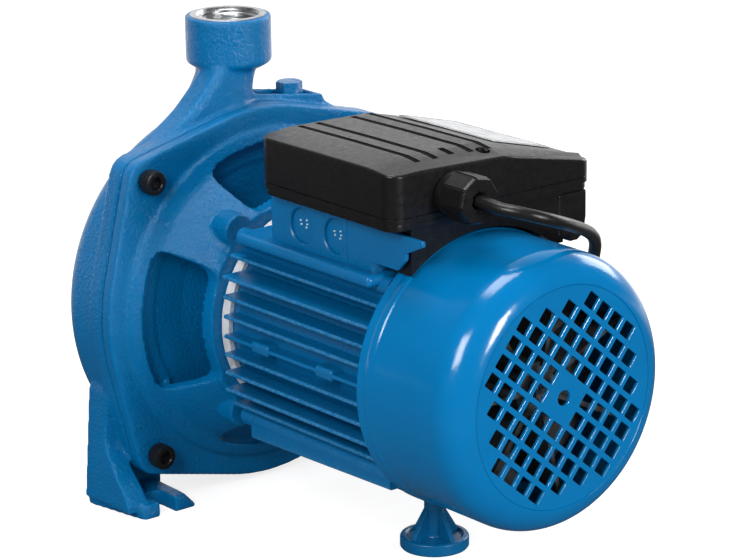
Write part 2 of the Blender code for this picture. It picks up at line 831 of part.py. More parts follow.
def foot_front_wall(side):
    """The wall across the front of one foot, up to the casing's rim."""
    inner = FOOT_LEG_INNER + FOOT_LEG_WIDTH + FOOT_LEG_SPREAD - FOOT_WIDTH
    outline = leg_outline(side, inner + FOOT_WALL_INSET, SCREW_OFFSET, 0)
    outline += [
        (side * (inner + FOOT_WALL_RUN), -SCREW_OFFSET),
        (side * (inner + FOOT_WALL_RUN / 2), -SHAFT_HEIGHT + 2 * FOOT_PLATE),
    ]
    return upright_plate(
        f"foot_wall_{side}", outline, FOOT_FRONT + 5 * SET_BACK, FOOT_FRONT + FOOT_WALL)


def foot_gusset(side):
    """The side wall of one foot, with its sloping rear edge."""
    inner = FOOT_LEG_INNER
    low = -SHAFT_HEIGHT + FOOT_PLATE / 2
    section = leg_outline(side, inner, inner, FOOT_CORNER / 2)
    gusset = upright_plate(f"foot_gusset_{side}", section, FOOT_FRONT + 4 * SET_BACK, FOOT_REAR)
    profile = [
        (FOOT_FRONT, low - OVERSHOOT),
        (FOOT_REAR - FOOT_CORNER, low - OVERSHOOT),
        (FOOT_REAR - FOOT_CORNER, -SHAFT_HEIGHT + FOOT_PLATE),
        (FOOT_GUSSET_TOE, -SHAFT_HEIGHT + FOOT_GUSSET_TOE_RISE),
        (FOOT_GUSSET_REAR, -SHAFT_HEIGHT + FOOT_GUSSET_BREAK),
        (FOOT_GUSSET_REAR, 0),
        (FOOT_FRONT, 0),
    ]
    reach = FOOT_LEG_INNER + FOOT_WIDTH
    limit = plate(f"gusset_side_{side}", profile, 2 * reach)
    limit.rotation_euler = (radians(90), 0, radians(90))
    limit.location = (-reach, 0, 0)
    place(limit)
    combine(gusset, limit, "INTERSECT")
    return gusset


def foot_slot(side):
    """The slot for the holding-down bolt, open to the rear."""
    half = FOOT_SLOT_WIDTH / 2
    centre = side * (FOOT_LEG_INNER + FOOT_LEG_WIDTH + FOOT_LEG_SPREAD - FOOT_SLOT_INSET)
    outline = [
        (centre + half, FOOT_REAR + OVERSHOOT),
        *arc((centre, FOOT_SLOT_END + half), half, 0, -pi, 8),
        (centre - half, FOOT_REAR + OVERSHOOT),
    ]
    low = -SHAFT_HEIGHT - OVERSHOOT
    return plate(f"foot_slot_{side}", outline, FOOT_PLATE + 2 * OVERSHOOT, (0, 0, low))


def volute_casing(finish):
    casing = turned("volute_casing", casing_profile(), LARGE_SIDES)
    flange_front = SEAM_POSITION - CASING_FLANGE_THICKNESS
    add(casing, upright_plate(
        "casing_flange", flange_outline(FLANGE_RADIUS), flange_front, SEAM_POSITION))
    add(casing, outlet_fairing())
    add(casing, discharge_neck())
    add(casing, discharge_boss())
    add(casing, priming_pad())
    cut(casing, pad_pocket())
    for side in (-1, 1):
        add(casing, foot_base(side))
        add(casing, foot_front_wall(side))
        add(casing, foot_gusset(side))
    cut(casing, turned("chamber", chamber_profile(), LARGE_SIDES))
    cut(casing, discharge_bore())
    cut(casing, discharge_passage())
    for side in (-1, 1):
        cut(casing, foot_slot(side))
    for name, x, z in screw_places():
        start = (x, SEAM_POSITION + OVERSHOOT, z)
        depth = SCREW_SHANK_LENGTH - FLANGE_THICKNESS + 2 * OVERSHOOT
        cut(casing, rod(f"tapping_{name}", SCREW_SHANK_RADIUS + SEAT_GAP, depth, start, FACE_MINUS_Y))
    return place(casing, finish)


def corner_places(offset):
    """Name and place of the four corners at an offset from the shaft's axis."""
    across, up = offset
    rows = (("upper", 1), ("lower", -1))
    columns = (("left", -1), ("right", 1))
    return [
        (f"{row}_{column}", side * across, level * up)
        for row, level in rows for column, side in columns]


def screw_places():
    return corner_places((SCREW_OFFSET, SCREW_OFFSET))


def casing_screw(name, x, z, finish):
    """A socket-head screw whose head faces the motor."""
    seat = SEAM_POSITION + SEAT_GAP + FLANGE_THICKNESS + SEAT_GAP
    top = SCREW_HEAD_HEIGHT
    shank = SCREW_SHANK_LENGTH
    profile = [
        (0, top),
        (SCREW_HEAD_RADIUS - SCREW_HEAD_CHAMFER, top),
        (SCREW_HEAD_RADIUS, top - SCREW_HEAD_CHAMFER),
        (SCREW_HEAD_RADIUS, 0),
        (SCREW_SHANK_RADIUS, 0),
        (SCREW_SHANK_RADIUS, -shank),
        (0, -shank),
    ]
    screw = turned(f"casing_screw_{name}", profile, SMALL_SIDES, (x, seat, z))
    socket_start = (x, seat + top - SCREW_SOCKET_DEPTH, z)
    cut(screw, rod(
        f"socket_{name}", SCREW_SOCKET_RADIUS, SCREW_SOCKET_DEPTH + OVERSHOOT,
        socket_start, FACE_PLUS_Y, 6))
    return place(screw, finish)


def hex_plug(name, location, rotation, finish):
    """A hexagon-headed plug on a thin collar."""
    plug = rod(name, PLUG_COLLAR_RADIUS, PLUG_COLLAR_HEIGHT, location, rotation)
    head = rod(
        f"{name}_head", HEX_PLUG_RADIUS, HEX_PLUG_HEIGHT + PLUG_COLLAR_HEIGHT, location, rotation, 6)
    soften(head, PLUG_EDGE, 1)
    add(plug, head)
    return place(plug, finish)


# Motor bracket

def bracket_profile():
    """The bell of the bracket with its back wall, as one closed section."""
    flange_rear = SEAM_POSITION + SEAT_GAP + FLANGE_THICKNESS
    run = SHOULDER_RADIUS - HUB_RADIUS
    rise = HUB_EDGE_POSITION - SHOULDER_POSITION
    slant = hypot(run, rise)
    inward = BRACKET_WALL * rise / slant
    forward = BRACKET_WALL * run / slant
    hole = SHAFT_RADIUS + SHAFT_GAP
    spigot = REGISTER_RADIUS - SEAT_GAP
    inside_flange = flange_rear - FLANGE_THICKNESS / 2
    return [
        (HUB_RADIUS - HUB_CHAMFER, HUB_END),
        (HUB_RADIUS, HUB_END - HUB_CHAMFER),
        (HUB_RADIUS, HUB_EDGE_POSITION),
        (SHOULDER_RADIUS, SHOULDER_POSITION),
        *[(STEP_RADIUS - inset, flange_rear + rise_here) for inset, rise_here in STEP_ROUNDING],
        (STEP_RADIUS, flange_rear),
        (STEP_RADIUS, inside_flange),
        (spigot, inside_flange),
        (spigot, BACK_WALL_FRONT),
        (SEAL_POCKET_RADIUS, BACK_WALL_FRONT),
        (SEAL_POCKET_RADIUS, SEAL_POCKET_END),
        (hole, SEAL_POCKET_END),
        (hole, SEAL_BOSS_END),
        (SEAL_BOSS_RADIUS, SEAL_BOSS_END),
        (SEAL_BOSS_RADIUS, SEAL_POCKET_END),
        (SEAL_BOSS_RADIUS + SEAL_BOSS_FLARE, SEAL_POCKET_END - SEAL_BOSS_SLOPE),
        (SHOULDER_RADIUS - inward - BACK_WALL_CONE, BACK_WALL_REAR),
        (SHOULDER_RADIUS - inward - BACK_WALL_FILLET, BACK_WALL_REAR),
        (SHOULDER_RADIUS - inward, SHOULDER_POSITION - forward),
        (HUB_RADIUS - inward, HUB_EDGE_POSITION - forward),
        (hole, HUB_EDGE_POSITION - forward),
        (hole, HUB_END),
    ]


def bracket_window(index):
    outline = sector_outline(
        WINDOW_INNER_RADIUS, WINDOW_OUTER_RADIUS, index * pi / 2, WINDOW_HALF_ANGLE, WINDOW_CORNER)
    floor = BACK_WALL_REAR + OVERSHOOT / 2
    return upright_plate(f"window_{index}", outline, floor, HUB_END + OVERSHOOT)


def motor_bracket(finish):
    bracket = turned("motor_bracket", bracket_profile(), LARGE_SIDES, closed=True)
    front = SEAM_POSITION + SEAT_GAP
    flange = upright_plate(
        "bracket_flange", flange_outline(FLANGE_RADIUS), front, front + FLANGE_THICKNESS)
    soften(flange, FLANGE_CHAMFER, 1)
    cut(flange, rod(
        "bracket_flange_hole", REGISTER_RADIUS - BRACKET_WALL / 2, 3 * FLANGE_THICKNESS,
        (0, front - FLANGE_THICKNESS, 0), FACE_PLUS_Y, LARGE_SIDES))
    add(bracket, flange)
    for index in range(4):
        cut(bracket, bracket_window(index))
    lug_length = HUB_END - HUB_LUG_FRONT - SEAT_GAP
    for name, x, z in corner_places(HUB_LUG_OFFSET):
        add(bracket, rod(
            f"hub_lug_{name}", HUB_LUG_RADIUS, lug_length, (x, HUB_LUG_FRONT, z), FACE_PLUS_Y))
    for name, x, z in screw_places():
        start = (x, front - OVERSHOOT, z)
        depth = FLANGE_THICKNESS + 2 * OVERSHOOT
        cut(bracket, rod(f"bracket_hole_{name}", SCREW_SHANK_RADIUS + SEAT_GAP, depth, start, FACE_PLUS_Y))
    return place(bracket, finish)


# Motor

def fin_reach(height):
    """How far a level fin reaches sideways at a height."""
    return min(FIN_REACH, sqrt(FIN_ENVELOPE_RADIUS ** 2 - height ** 2))


def housing_blank():
    """The core of the housing, whose bare front end is seated on the bracket."""
    start = HUB_END + SEAT_GAP
    return rod(
        "motor_housing", MOTOR_CORE_RADIUS, MOTOR_REAR - start, (0, start, 0), FACE_PLUS_Y, MEDIUM_SIDES)


def side_fins(housing):
    half = FIN_THICKNESS / 2
    for row, height in enumerate(SIDE_FIN_HEIGHTS):
        reach = fin_reach(abs(height) + half)
        low = (-reach, FIN_FRONT + SET_BACK, height - half)
        high = (reach, FIN_REAR - SET_BACK, height + half)
        add(housing, box(f"side_fin_{row}", low, high))
    middle = SIDE_FIN_HEIGHTS[FIN_PAD_ROW]
    for index, position in enumerate(FIN_PAD_POSITIONS):
        for side in (-1, 1):
            ends = sorted((side * FIN_PAD_INNER, side * (FIN_REACH + SEAT_GAP)))
            low = (ends[0], position - FIN_PAD_LENGTH / 2, middle - FIN_PAD_HEIGHT / 2)
            high = (ends[1], position + FIN_PAD_LENGTH / 2, middle + FIN_PAD_HEIGHT / 2)
            add(housing, box(f"fin_pad_{index}_{side}", low, high))


def lower_fins(housing):
    """The upright fins below the core."""
    half = FIN_THICKNESS / 2
    first = -(LOWER_FIN_COUNT - 1) / 2 * LOWER_FIN_PITCH
    for column in range(LOWER_FIN_COUNT):
        x = first + column * LOWER_FIN_PITCH
        reach = min(LOWER_FIN_REACH, sqrt(LOWER_ENVELOPE_RADIUS ** 2 - (abs(x) + half) ** 2))
        low = (x - half, FIN_FRONT + 2 * SET_BACK, -reach)
        high = (x + half, FIN_REAR - 2 * SET_BACK, 0)
        add(housing, box(f"lower_fin_{column}", low, high))


def tie_bars(housing):
    """The round bars at the core's corners for the through bolts, each on a web under its fin."""
    half = FIN_THICKNESS / 2
    for name, x, z in corner_places(TIE_BAR_OFFSET):
        add(housing, rod(
            f"tie_bar_{name}", TIE_BAR_RADIUS, FIN_REAR - FIN_FRONT - 6 * SET_BACK,
            (x, FIN_FRONT + 3 * SET_BACK, z), FACE_PLUS_Y, 12))
        ends = sorted((z, SIDE_FIN_HEIGHTS[0] if z > 0 else SIDE_FIN_HEIGHTS[-1]))
        add(housing, box(
            f"tie_web_{name}", (x - half, FIN_FRONT + 4 * SET_BACK, ends[0]),
            (x + half, FIN_REAR - 4 * SET_BACK, ends[1])))


def terminal_base(housing):
    """The box on top that carries the terminal box, with a ledge and two blanks."""
    ledge_top = LEDGE_BOTTOM + LEDGE_THICKNESS
    rear = BASE_REAR + 3 * SET_BACK
    add(housing, box(
        "base_neck", (-BASE_NECK_HALF_WIDTH, BASE_FRONT + BASE_NECK_INSET, 0),
        (BASE_NECK_HALF_WIDTH, BASE_REAR - BASE_NECK_INSET, LEDGE_BOTTOM + OVERSHOOT)))
    add(housing, box(
        "ledge", (-LEDGE_REACH, LEDGE_FRONT, LEDGE_BOTTOM), (LEDGE_REACH, rear, ledge_top)))
    add(housing, box(
        "terminal_base", (-BASE_HALF_WIDTH, BASE_FRONT, LEDGE_BOTTOM + OVERSHOOT),
        (BASE_HALF_WIDTH, BASE_REAR, BASE_TOP)))
    for index, position in enumerate(KNOCKOUT_POSITIONS):
        start = (BASE_HALF_WIDTH - KNOCKOUT_ROOT, position, KNOCKOUT_HEIGHT)
        add(housing, rod(
            f"knockout_{index}", KNOCKOUT_RADIUS, KNOCKOUT_ROOT + KNOCKOUT_RAISE, start, FACE_PLUS_X))


def motor_housing(finish):
    housing = housing_blank()
    side_fins(housing)
    lower_fins(housing)
    tie_bars(housing)
    terminal_base(housing)
    half = SUPPORT_BOSS_SIZE / 2
    add(housing, box(
        "support_boss", (-half, SUPPORT_POSITION - half, SUPPORT_BOSS_BOTTOM),
        (half, SUPPORT_POSITION + half, 0)))
    cut(housing, rod(
        "motor_shaft_way", SHAFT_RADIUS + SHAFT_GAP, MOTOR_REAR - HUB_END + 2 * OVERSHOOT,
        (0, HUB_END - OVERSHOOT, 0), FACE_PLUS_Y))
    return place(housing, finish)


def end_shield(finish):
    """The rear bearing shield with four ears that carry the fan cover."""
    shield = rod(
        "end_shield", SHIELD_RADIUS, SHIELD_THICKNESS, (0, SHIELD_FRONT, 0), FACE_PLUS_Y, MEDIUM_SIDES)
    add(shield, rod(
        "shield_boss", SHIELD_BOSS_RADIUS, SHIELD_THICKNESS + SHIELD_BOSS_LENGTH,
        (0, SHIELD_FRONT + SET_BACK, 0), FACE_PLUS_Y, MEDIUM_SIDES))
    reach = COVER_RADIUS - COVER_WALL - SEAT_GAP
    ring = rod(
        "ear_limit", reach, SHIELD_THICKNESS * 2, (0, SHIELD_FRONT - OVERSHOOT, 0), FACE_PLUS_Y,
        LARGE_SIDES)
    place(ring)
    for index in range(2):
        angle = radians(45) + index * pi / 2
        half = SHIELD_EAR_WIDTH / 2
        ear = box(
            f"shield_ears_{index}", (-COVER_RADIUS, -SHIELD_THICKNESS / 2 + 5 * SET_BACK, -half),
            (COVER_RADIUS, SHIELD_THICKNESS / 2 - 5 * SET_BACK, half))
        ear.location = (0, SHIELD_FRONT + SHIELD_THICKNESS / 2, 0)
        ear.rotation_euler = (0, angle, 0)
        combine(ear, ring, "INTERSECT")
        add(shield, ear)
    cut(shield, rod(
        "shield_shaft_way", SHAFT_RADIUS + SHAFT_GAP, SHIELD_THICKNESS * 3,
        (0, SHIELD_FRONT - OVERSHOOT, 0), FACE_PLUS_Y))
    return place(shield, finish)


def cover_profile():
    """The fan cover's outer and inner line, as one closed section of a cup."""
    rim_end = COVER_FRONT + COVER_RIM_LENGTH
    corner = (COVER_RADIUS - COVER_EDGE, COVER_END - COVER_EDGE)
    crest = acos((DISC_RADIUS + DISC_STEP - corner[0]) / COVER_EDGE)
    outer = arc(corner, COVER_EDGE, crest, 0, 5)
    inner = arc(corner, COVER_EDGE - COVER_WALL, 0, pi / 2, 4)
    return [
        (0, COVER_END - DISC_STEP),
        (DISC_RADIUS, COVER_END - DISC_STEP),
        *outer,
        (COVER_RADIUS, rim_end),
        (COVER_RIM_RADIUS, rim_end - COVER_RIM_CHAMFER),
        (COVER_RIM_RADIUS, COVER_FRONT + COVER_RIM_CHAMFER),
        (COVER_RIM_RADIUS - COVER_RIM_CHAMFER, COVER_FRONT),
        (COVER_RADIUS - COVER_WALL, COVER_FRONT),
        *inner,
        (0, COVER_END - COVER_WALL),
    ]


def grille_places():
    """Centres of the square holes, as rows and columns turned by the grille's angle."""
    middle = (len(GRILLE_FIRST_COLUMNS) - 1) / 2
    places = []
    for row, first in enumerate(GRILLE_FIRST_COLUMNS):
        for column in range(first, len(GRILLE_FIRST_COLUMNS) - first):
            near_middle = abs(row - middle) < 1 and abs(column - middle) < 1
            if not near_middle:
                places.append(((column - middle) * GRILLE_PITCH, (row - middle) * GRILLE_PITCH))
    return places


def grille_punches():
    """All square punches of the grille in one cutter."""
    shape = bmesh.new()
    for across, up in grille_places():
        made = bmesh.ops.create_cube(shape, size=1)
        bmesh.ops.scale(shape, vec=(GRILLE_HOLE, 6 * COVER_WALL, GRILLE_HOLE), verts=made["verts"])
        bmesh.ops.translate(shape, vec=(across, 0, up), verts=made["verts"])
    return mesh_object("grille_punches", shape, (0, COVER_END, 0), (0, -GRILLE_ANGLE, 0))


def fan_cover(finish):
    cover = turned("fan_cover", cover_profile(), LARGE_SIDES)
    cut(cover, grille_punches())
    cut(cover, rod(
        "grille_centre", GRILLE_CENTRE_HOLE_RADIUS, 6 * COVER_WALL, (0, COVER_END - 3 * COVER_WALL, 0),
        FACE_PLUS_Y))
    return place(cover, finish)


def support_foot(finish):
    """The plastic prop under the motor: a round pad, a stem and four gussets."""
    top = SUPPORT_BOSS_BOTTOM - SEAT_GAP
    height = top + SHAFT_HEIGHT
    pad = SUPPORT_PAD_HEIGHT
    ring = SUPPORT_PAD_RADIUS
    start = (0, SUPPORT_POSITION, -SHAFT_HEIGHT)
    foot = turned("support_foot", [
        (0, height),
        (SUPPORT_STEM_RADIUS, height),
        (SUPPORT_STEM_RADIUS, pad),
        (SUPPORT_PAD_CORE, pad),
        (SUPPORT_PAD_GROOVE[0], pad - SUPPORT_GROOVE_DEPTH),
        (SUPPORT_PAD_GROOVE[1], pad - SUPPORT_GROOVE_DEPTH),
        (SUPPORT_PAD_RIM, pad),
        (ring - SUPPORT_PAD_EDGE, pad),
        (ring, pad - SUPPORT_PAD_EDGE),
        (ring, SUPPORT_SOLE_EDGE),
        (ring - SUPPORT_SOLE_EDGE, 0),
        (0, 0),
    ], MEDIUM_SIDES, start, (0, 0, 0))
    half = SUPPORT_GUSSET_THICKNESS / 2
    for index in range(2):
        outline = [
            (-SUPPORT_PAD_CORE, pad - SUPPORT_SOLE_EDGE),
            (SUPPORT_PAD_CORE, pad - SUPPORT_SOLE_EDGE),
            (SUPPORT_STEM_RADIUS - SEAT_GAP, height * SUPPORT_GUSSET_RISE),
            (-SUPPORT_STEM_RADIUS + SEAT_GAP, height * SUPPORT_GUSSET_RISE),
        ]
        web = plate(f"support_gusset_{index}", outline, 2 * half, start, (radians(90), 0, 0))
        for vertex in web.data.vertices:
            vertex.co.z -= half
        web.rotation_euler = (radians(90), 0, radians(45) + index * pi / 2)
        add(foot, web)
    return place(foot, finish)


# Terminal box

def box_outline(inset):
    """The box seen from above."""
    corners = [
        (BOX_RIGHT - inset, BOX_FRONT + inset),
        (BOX_RIGHT - inset, BOX_REAR - inset),
        (-BOX_LEFT + inset, BOX_REAR - inset),
        (-BOX_LEFT + inset, BOX_FRONT + inset),
    ]
    return rounded_outline(corners, BOX_CORNER - inset, 5)


def lid_top(x):
    """The height of the lid's roof, which slopes down to both sides."""
    line = (
        (BOX_RIGHT, LID_TOP - LID_RIGHT_DROP),
        (LID_CREST, LID_TOP),
        (LID_RIDGE_X, LID_TOP - LID_RIDGE_DROP),
        (-BOX_LEFT, LID_TOP - LID_LEFT_DROP),
    )
    for (right, high), (left, low) in zip(line, line[1:]):
        if x >= left or left == -BOX_LEFT:
            return low + (high - low) * (x - left) / (right - left)


def lid_section():
    """What lies above the lid's roof, to be cut off along the box."""
    right = BOX_RIGHT + OVERSHOOT
    left = -BOX_LEFT - OVERSHOOT
    over = LID_TOP + BOX_CORNER
    return [
        (right, over), (left, over), (left, lid_top(left)), (LID_RIDGE_X, lid_top(LID_RIDGE_X)),
        (LID_CREST, LID_TOP), (right, lid_top(right)),
    ]


def lid_hip():
    """The same roof, sunk and tilted so that it slopes down to the rear."""
    section = lid_section()
    low_rear = BOX_REAR + OVERSHOOT
    drop = HIP_DROP * (low_rear - HIP_START) / (BOX_REAR - HIP_START)
    rings = [[(x, y, z - down) for x, z in section] for y, down in ((HIP_START, 0), (low_rear, drop))]
    return loft("lid_hip", rings)


def lid_groove(index):
    """A groove along the lid's roof, open where the roof bends down to the rear."""
    x = GROOVE_PLACES[index]
    return box(
        f"groove_{index}", (x - GROOVE_WIDTH / 2, GROOVE_FRONT, lid_top(x) - GROOVE_DEPTH),
        (x + GROOVE_WIDTH / 2, GROOVE_REAR, LID_TOP + OVERSHOOT))


def terminal_lid(finish):
    lid = plate("terminal_box_lid", box_outline(0), LID_TOP - LID_BOTTOM, (0, 0, LID_BOTTOM))
    cut(lid, upright_plate("lid_top_cut", lid_section(), BOX_FRONT - OVERSHOOT, BOX_REAR + OVERSHOOT))
    cut(lid, lid_hip())
    for index in range(len(GROOVE_PLACES)):
        cut(lid, lid_groove(index))
    return place(lid, finish)


def terminal_tray(finish):
    top = LID_BOTTOM - SEAT_GAP
    tray = plate("terminal_box_tray", box_outline(TRAY_INSET), TRAY_THICKNESS, (0, 0, top - TRAY_THICKNESS))
    return place(tray, finish)


def capacitor_pocket(finish):
    """The deep part of the box beside the terminal base."""
    top = LID_BOTTOM - 2 * SEAT_GAP - TRAY_THICKNESS
    right = -BASE_HALF_WIDTH - SEAT_GAP
    across, up = POCKET_CORNER
    ledge_clear = -LEDGE_REACH - SEAT_GAP
    ledge_top = LEDGE_BOTTOM + LEDGE_THICKNESS + SEAT_GAP
    outline = [
        (right, top),
        (-POCKET_LEFT, top),
        (-POCKET_LEFT, POCKET_BOTTOM + up),
        (-POCKET_LEFT + across, POCKET_BOTTOM),
        (ledge_clear, POCKET_BOTTOM),
        (ledge_clear, ledge_top),
        (right, ledge_top),
    ]
    pocket = upright_plate("capacitor_pocket", outline, POCKET_FRONT, POCKET_REAR)
    return place(pocket, finish)


def rating_plate(finish):
    """The bare plate on the sloping part of the lid."""
    x, y = PLATE_MIDDLE
    slope = atan2(LID_LEFT_DROP - LID_RIDGE_DROP, BOX_LEFT + LID_RIDGE_X)
    item = box(
        "rating_plate", (-PLATE_WIDTH / 2, -PLATE_LENGTH / 2, 0),
        (PLATE_WIDTH / 2, PLATE_LENGTH / 2, PLATE_THICKNESS))
    item.location = (x, y, lid_top(x) + SEAT_GAP + PLATE_THICKNESS / 2)
    item.rotation_euler = (0, -slope, 0)
    return place(item, finish)


def gland_collar(finish):
    collar = turned("gland_collar", [
        (GLAND_COLLAR_RADIUS, GLAND_COLLAR_LENGTH),
        (GLAND_COLLAR_RADIUS, 0),
        (CABLE_RADIUS + SHAFT_GAP, 0),
        (CABLE_RADIUS + SHAFT_GAP, GLAND_COLLAR_LENGTH),
    ], SMALL_SIDES, (GLAND_X, BOX_REAR + SEAT_GAP, GLAND_Z), closed=True)
    return place(collar, finish)


def gland_nut(finish):
    """The fluted clamping nut around the cable."""
    start = BOX_REAR + 2 * SEAT_GAP + GLAND_COLLAR_LENGTH
    length = GLAND_NUT_LENGTH
    nut = turned("gland_nut", [
        (GLAND_NUT_RADIUS - GLAND_NUT_TAPER[0], length),
        (GLAND_NUT_RADIUS, length - GLAND_NUT_TAPER[1]),
        (GLAND_NUT_RADIUS, 0),
        (CABLE_RADIUS + SHAFT_GAP, 0),
        (CABLE_RADIUS + SHAFT_GAP, length),
    ], GLAND_SIDES, (GLAND_X, start, GLAND_Z), closed=True)
    for index in range(GLAND_FLUTES):
        angle = 2 * pi * index / GLAND_FLUTES
        reach = GLAND_NUT_RADIUS + GLAND_FLUTE_OFFSET
        spot = (GLAND_X + reach * cos(angle), start - OVERSHOOT, GLAND_Z + reach * sin(angle))
        cut(nut, rod(f"flute_{index}", GLAND_FLUTE_RADIUS, length - OVERSHOOT, spot, FACE_PLUS_Y, 10))
    return place(nut, finish)


# Rotor

def shaft(finish):
    """The motor shaft, stepped down for the impeller and for the fan."""
    seat = IMPELLER_BACK + SEAT_GAP
    profile = [
        (0, SHAFT_END),
        (SHAFT_TAIL_RADIUS - SHAFT_CHAMFER, SHAFT_END),
        (SHAFT_TAIL_RADIUS, SHAFT_END - SHAFT_CHAMFER),
        (SHAFT_TAIL_RADIUS, FAN_FRONT - SEAT_GAP),
        (SHAFT_RADIUS, FAN_FRONT - SEAT_GAP),
        (SHAFT_RADIUS, seat),
        (SHAFT_NOSE_RADIUS, seat),
        (SHAFT_NOSE_RADIUS, SHAFT_START),
        (0, SHAFT_START),
    ]
    return place(turned("shaft", profile, SMALL_SIDES), finish, rotor=True)


def vane_outline(start_angle):
    """A backward-curved vane from the eye to the impeller's rim."""
    near = IMPELLER_HUB_RADIUS + VANE_START
    far = IMPELLER_RADIUS - SEAT_GAP
    outer = []
    inner = []
    for step in range(VANE_STEPS + 1):
        share = step / VANE_STEPS
        radius = near + (far - near) * share
        angle = start_angle - VANE_SWEEP * share
        half = VANE_THICKNESS / 2 / radius / cos(VANE_SLANT)
        outer.append((radius * cos(angle + half), radius * sin(angle + half)))
        inner.append((radius * cos(angle - half), radius * sin(angle - half)))
    return outer + inner[::-1]


def impeller(finish):
    """A closed impeller: back disc, hub, vanes and front shroud."""
    bore = SHAFT_NOSE_RADIUS + SEAT_GAP
    eye = IMPELLER_EYE_RADIUS
    inner_front = IMPELLER_FRONT + IMPELLER_SHROUD
    inner_back = IMPELLER_BACK - IMPELLER_SHROUD
    wheel = turned("impeller", [
        (IMPELLER_RADIUS, IMPELLER_BACK),
        (IMPELLER_RADIUS, inner_back),
        (IMPELLER_HUB_RADIUS + HUB_CONE, inner_back),
        (IMPELLER_HUB_RADIUS, inner_back - HUB_CONE),
        (IMPELLER_HUB_RADIUS - HUB_NOSE, IMPELLER_FRONT + HUB_NOSE_INSET),
        (bore, IMPELLER_FRONT + HUB_NOSE_INSET),
        (bore, IMPELLER_BACK),
    ], MEDIUM_SIDES, closed=True)
    for index in range(VANE_COUNT):
        outline = vane_outline(2 * pi * index / VANE_COUNT)
        vane = upright_plate(f"vane_{index}", outline, inner_front - HUB_NOSE_INSET, inner_back + HUB_NOSE_INSET)
        add(wheel, vane, rotor=True)
    shroud = turned("impeller_shroud", [
        (IMPELLER_RADIUS, inner_front),
        (IMPELLER_RADIUS, IMPELLER_FRONT),
        (eye, IMPELLER_FRONT),
        (eye, inner_front),
    ], MEDIUM_SIDES, closed=True)
    add(wheel, shroud, rotor=True)
    return place(wheel, finish, rotor=True)


def impeller_nut(finish):
    start = (0, IMPELLER_FRONT + HUB_NOSE_INSET - SEAT_GAP, 0)
    nut = rod("impeller_nut", NUT_RADIUS, NUT_LENGTH, start, FACE_MINUS_Y, 6)
    cut(nut, rod(
        "nut_bore", SHAFT_NOSE_RADIUS + SEAT_GAP, NUT_LENGTH + 2 * OVERSHOOT,
        (0, IMPELLER_FRONT + OVERSHOOT, 0), FACE_MINUS_Y), rotor=True)
    return place(nut, finish, rotor=True)


def seal_ring(finish):
    """The turning half of the shaft seal."""
    start = IMPELLER_BACK + 2 * SEAT_GAP
    end = SEAL_POCKET_END - SEAL_SEAT_LENGTH - 2 * SEAT_GAP
    bore = SHAFT_RADIUS + SEAT_GAP
    ring = turned("seal_ring", [
        (SEAL_RING_RADIUS - SEAL_RING_STEP[0], end),
        (SEAL_RING_RADIUS - SEAL_RING_STEP[0], end - SEAL_RING_STEP[1]),
        (SEAL_RING_RADIUS, end - SEAL_RING_STEP[1]),
        (SEAL_RING_RADIUS, start),
        (bore, start),
        (bore, end),
    ], SMALL_SIDES, closed=True)
    return place(ring, finish, rotor=True)


def seal_seat(finish):
    """The fixed half of the shaft seal, seated in the bracket's pocket."""
    end = SEAL_POCKET_END - SEAT_GAP
    start = end - SEAL_SEAT_LENGTH
    bore = SHAFT_RADIUS + SHAFT_GAP
    seat = turned("seal_seat", [
        (SEAL_POCKET_RADIUS - SEAT_GAP, end),
        (SEAL_POCKET_RADIUS - SEAT_GAP, start),
        (bore, start),
        (bore, end),
    ], SMALL_SIDES, closed=True)
    return place(seat, finish)


def slinger(finish):
    """The rubber disc that keeps drips from the motor's bearing."""
    start = SLINGER_POSITION
    end = start + SLINGER_THICKNESS
    bore = SHAFT_RADIUS + SEAT_GAP
    disc = turned("slinger", [
        (SLINGER_RADIUS, end),
        (SLINGER_RADIUS, start),
        (bore, start),
        (bore, end),
    ], SMALL_SIDES, closed=True)
    return place(disc, finish, rotor=True)


def cooling_fan(finish):
    """A back disc with straight radial blades on a hub."""
    bore = SHAFT_TAIL_RADIUS + SEAT_GAP
    disc_end = FAN_FRONT + FAN_DISC_THICKNESS
    fan = turned("cooling_fan", [
        (FAN_HUB_RADIUS, FAN_REAR - OVERSHOOT),
        (FAN_HUB_RADIUS, disc_end),
        (FAN_RADIUS, disc_end),
        (FAN_RADIUS, FAN_FRONT),
        (bore, FAN_FRONT),
        (bore, FAN_REAR - OVERSHOOT),
    ], MEDIUM_SIDES, closed=True)
    half = FAN_BLADE_THICKNESS / 2
    for index in range(FAN_BLADE_COUNT):
        blade = box(
            f"fan_blade_{index}", (FAN_HUB_RADIUS - OVERSHOOT, disc_end - OVERSHOOT / 2, -half),
            (FAN_RADIUS - OVERSHOOT / 2, FAN_REAR, half))
        angle = 2 * pi * index / FAN_BLADE_COUNT
        centre = blade.location.copy()
        blade.location = (centre.x * cos(angle), centre.y, -centre.x * sin(angle))
        blade.rotation_euler = (0, angle, 0)
        add(fan, blade, rotor=True)
    return place(fan, finish, rotor=True)


# Supply cable

def coil_profile_size():
    """Half the width and the height of the coil of cable."""
    across = COIL_TURNS_ACROSS * CABLE_RADIUS
    height = COIL_LAYERS * 2 * CABLE_RADIUS
    return across, height


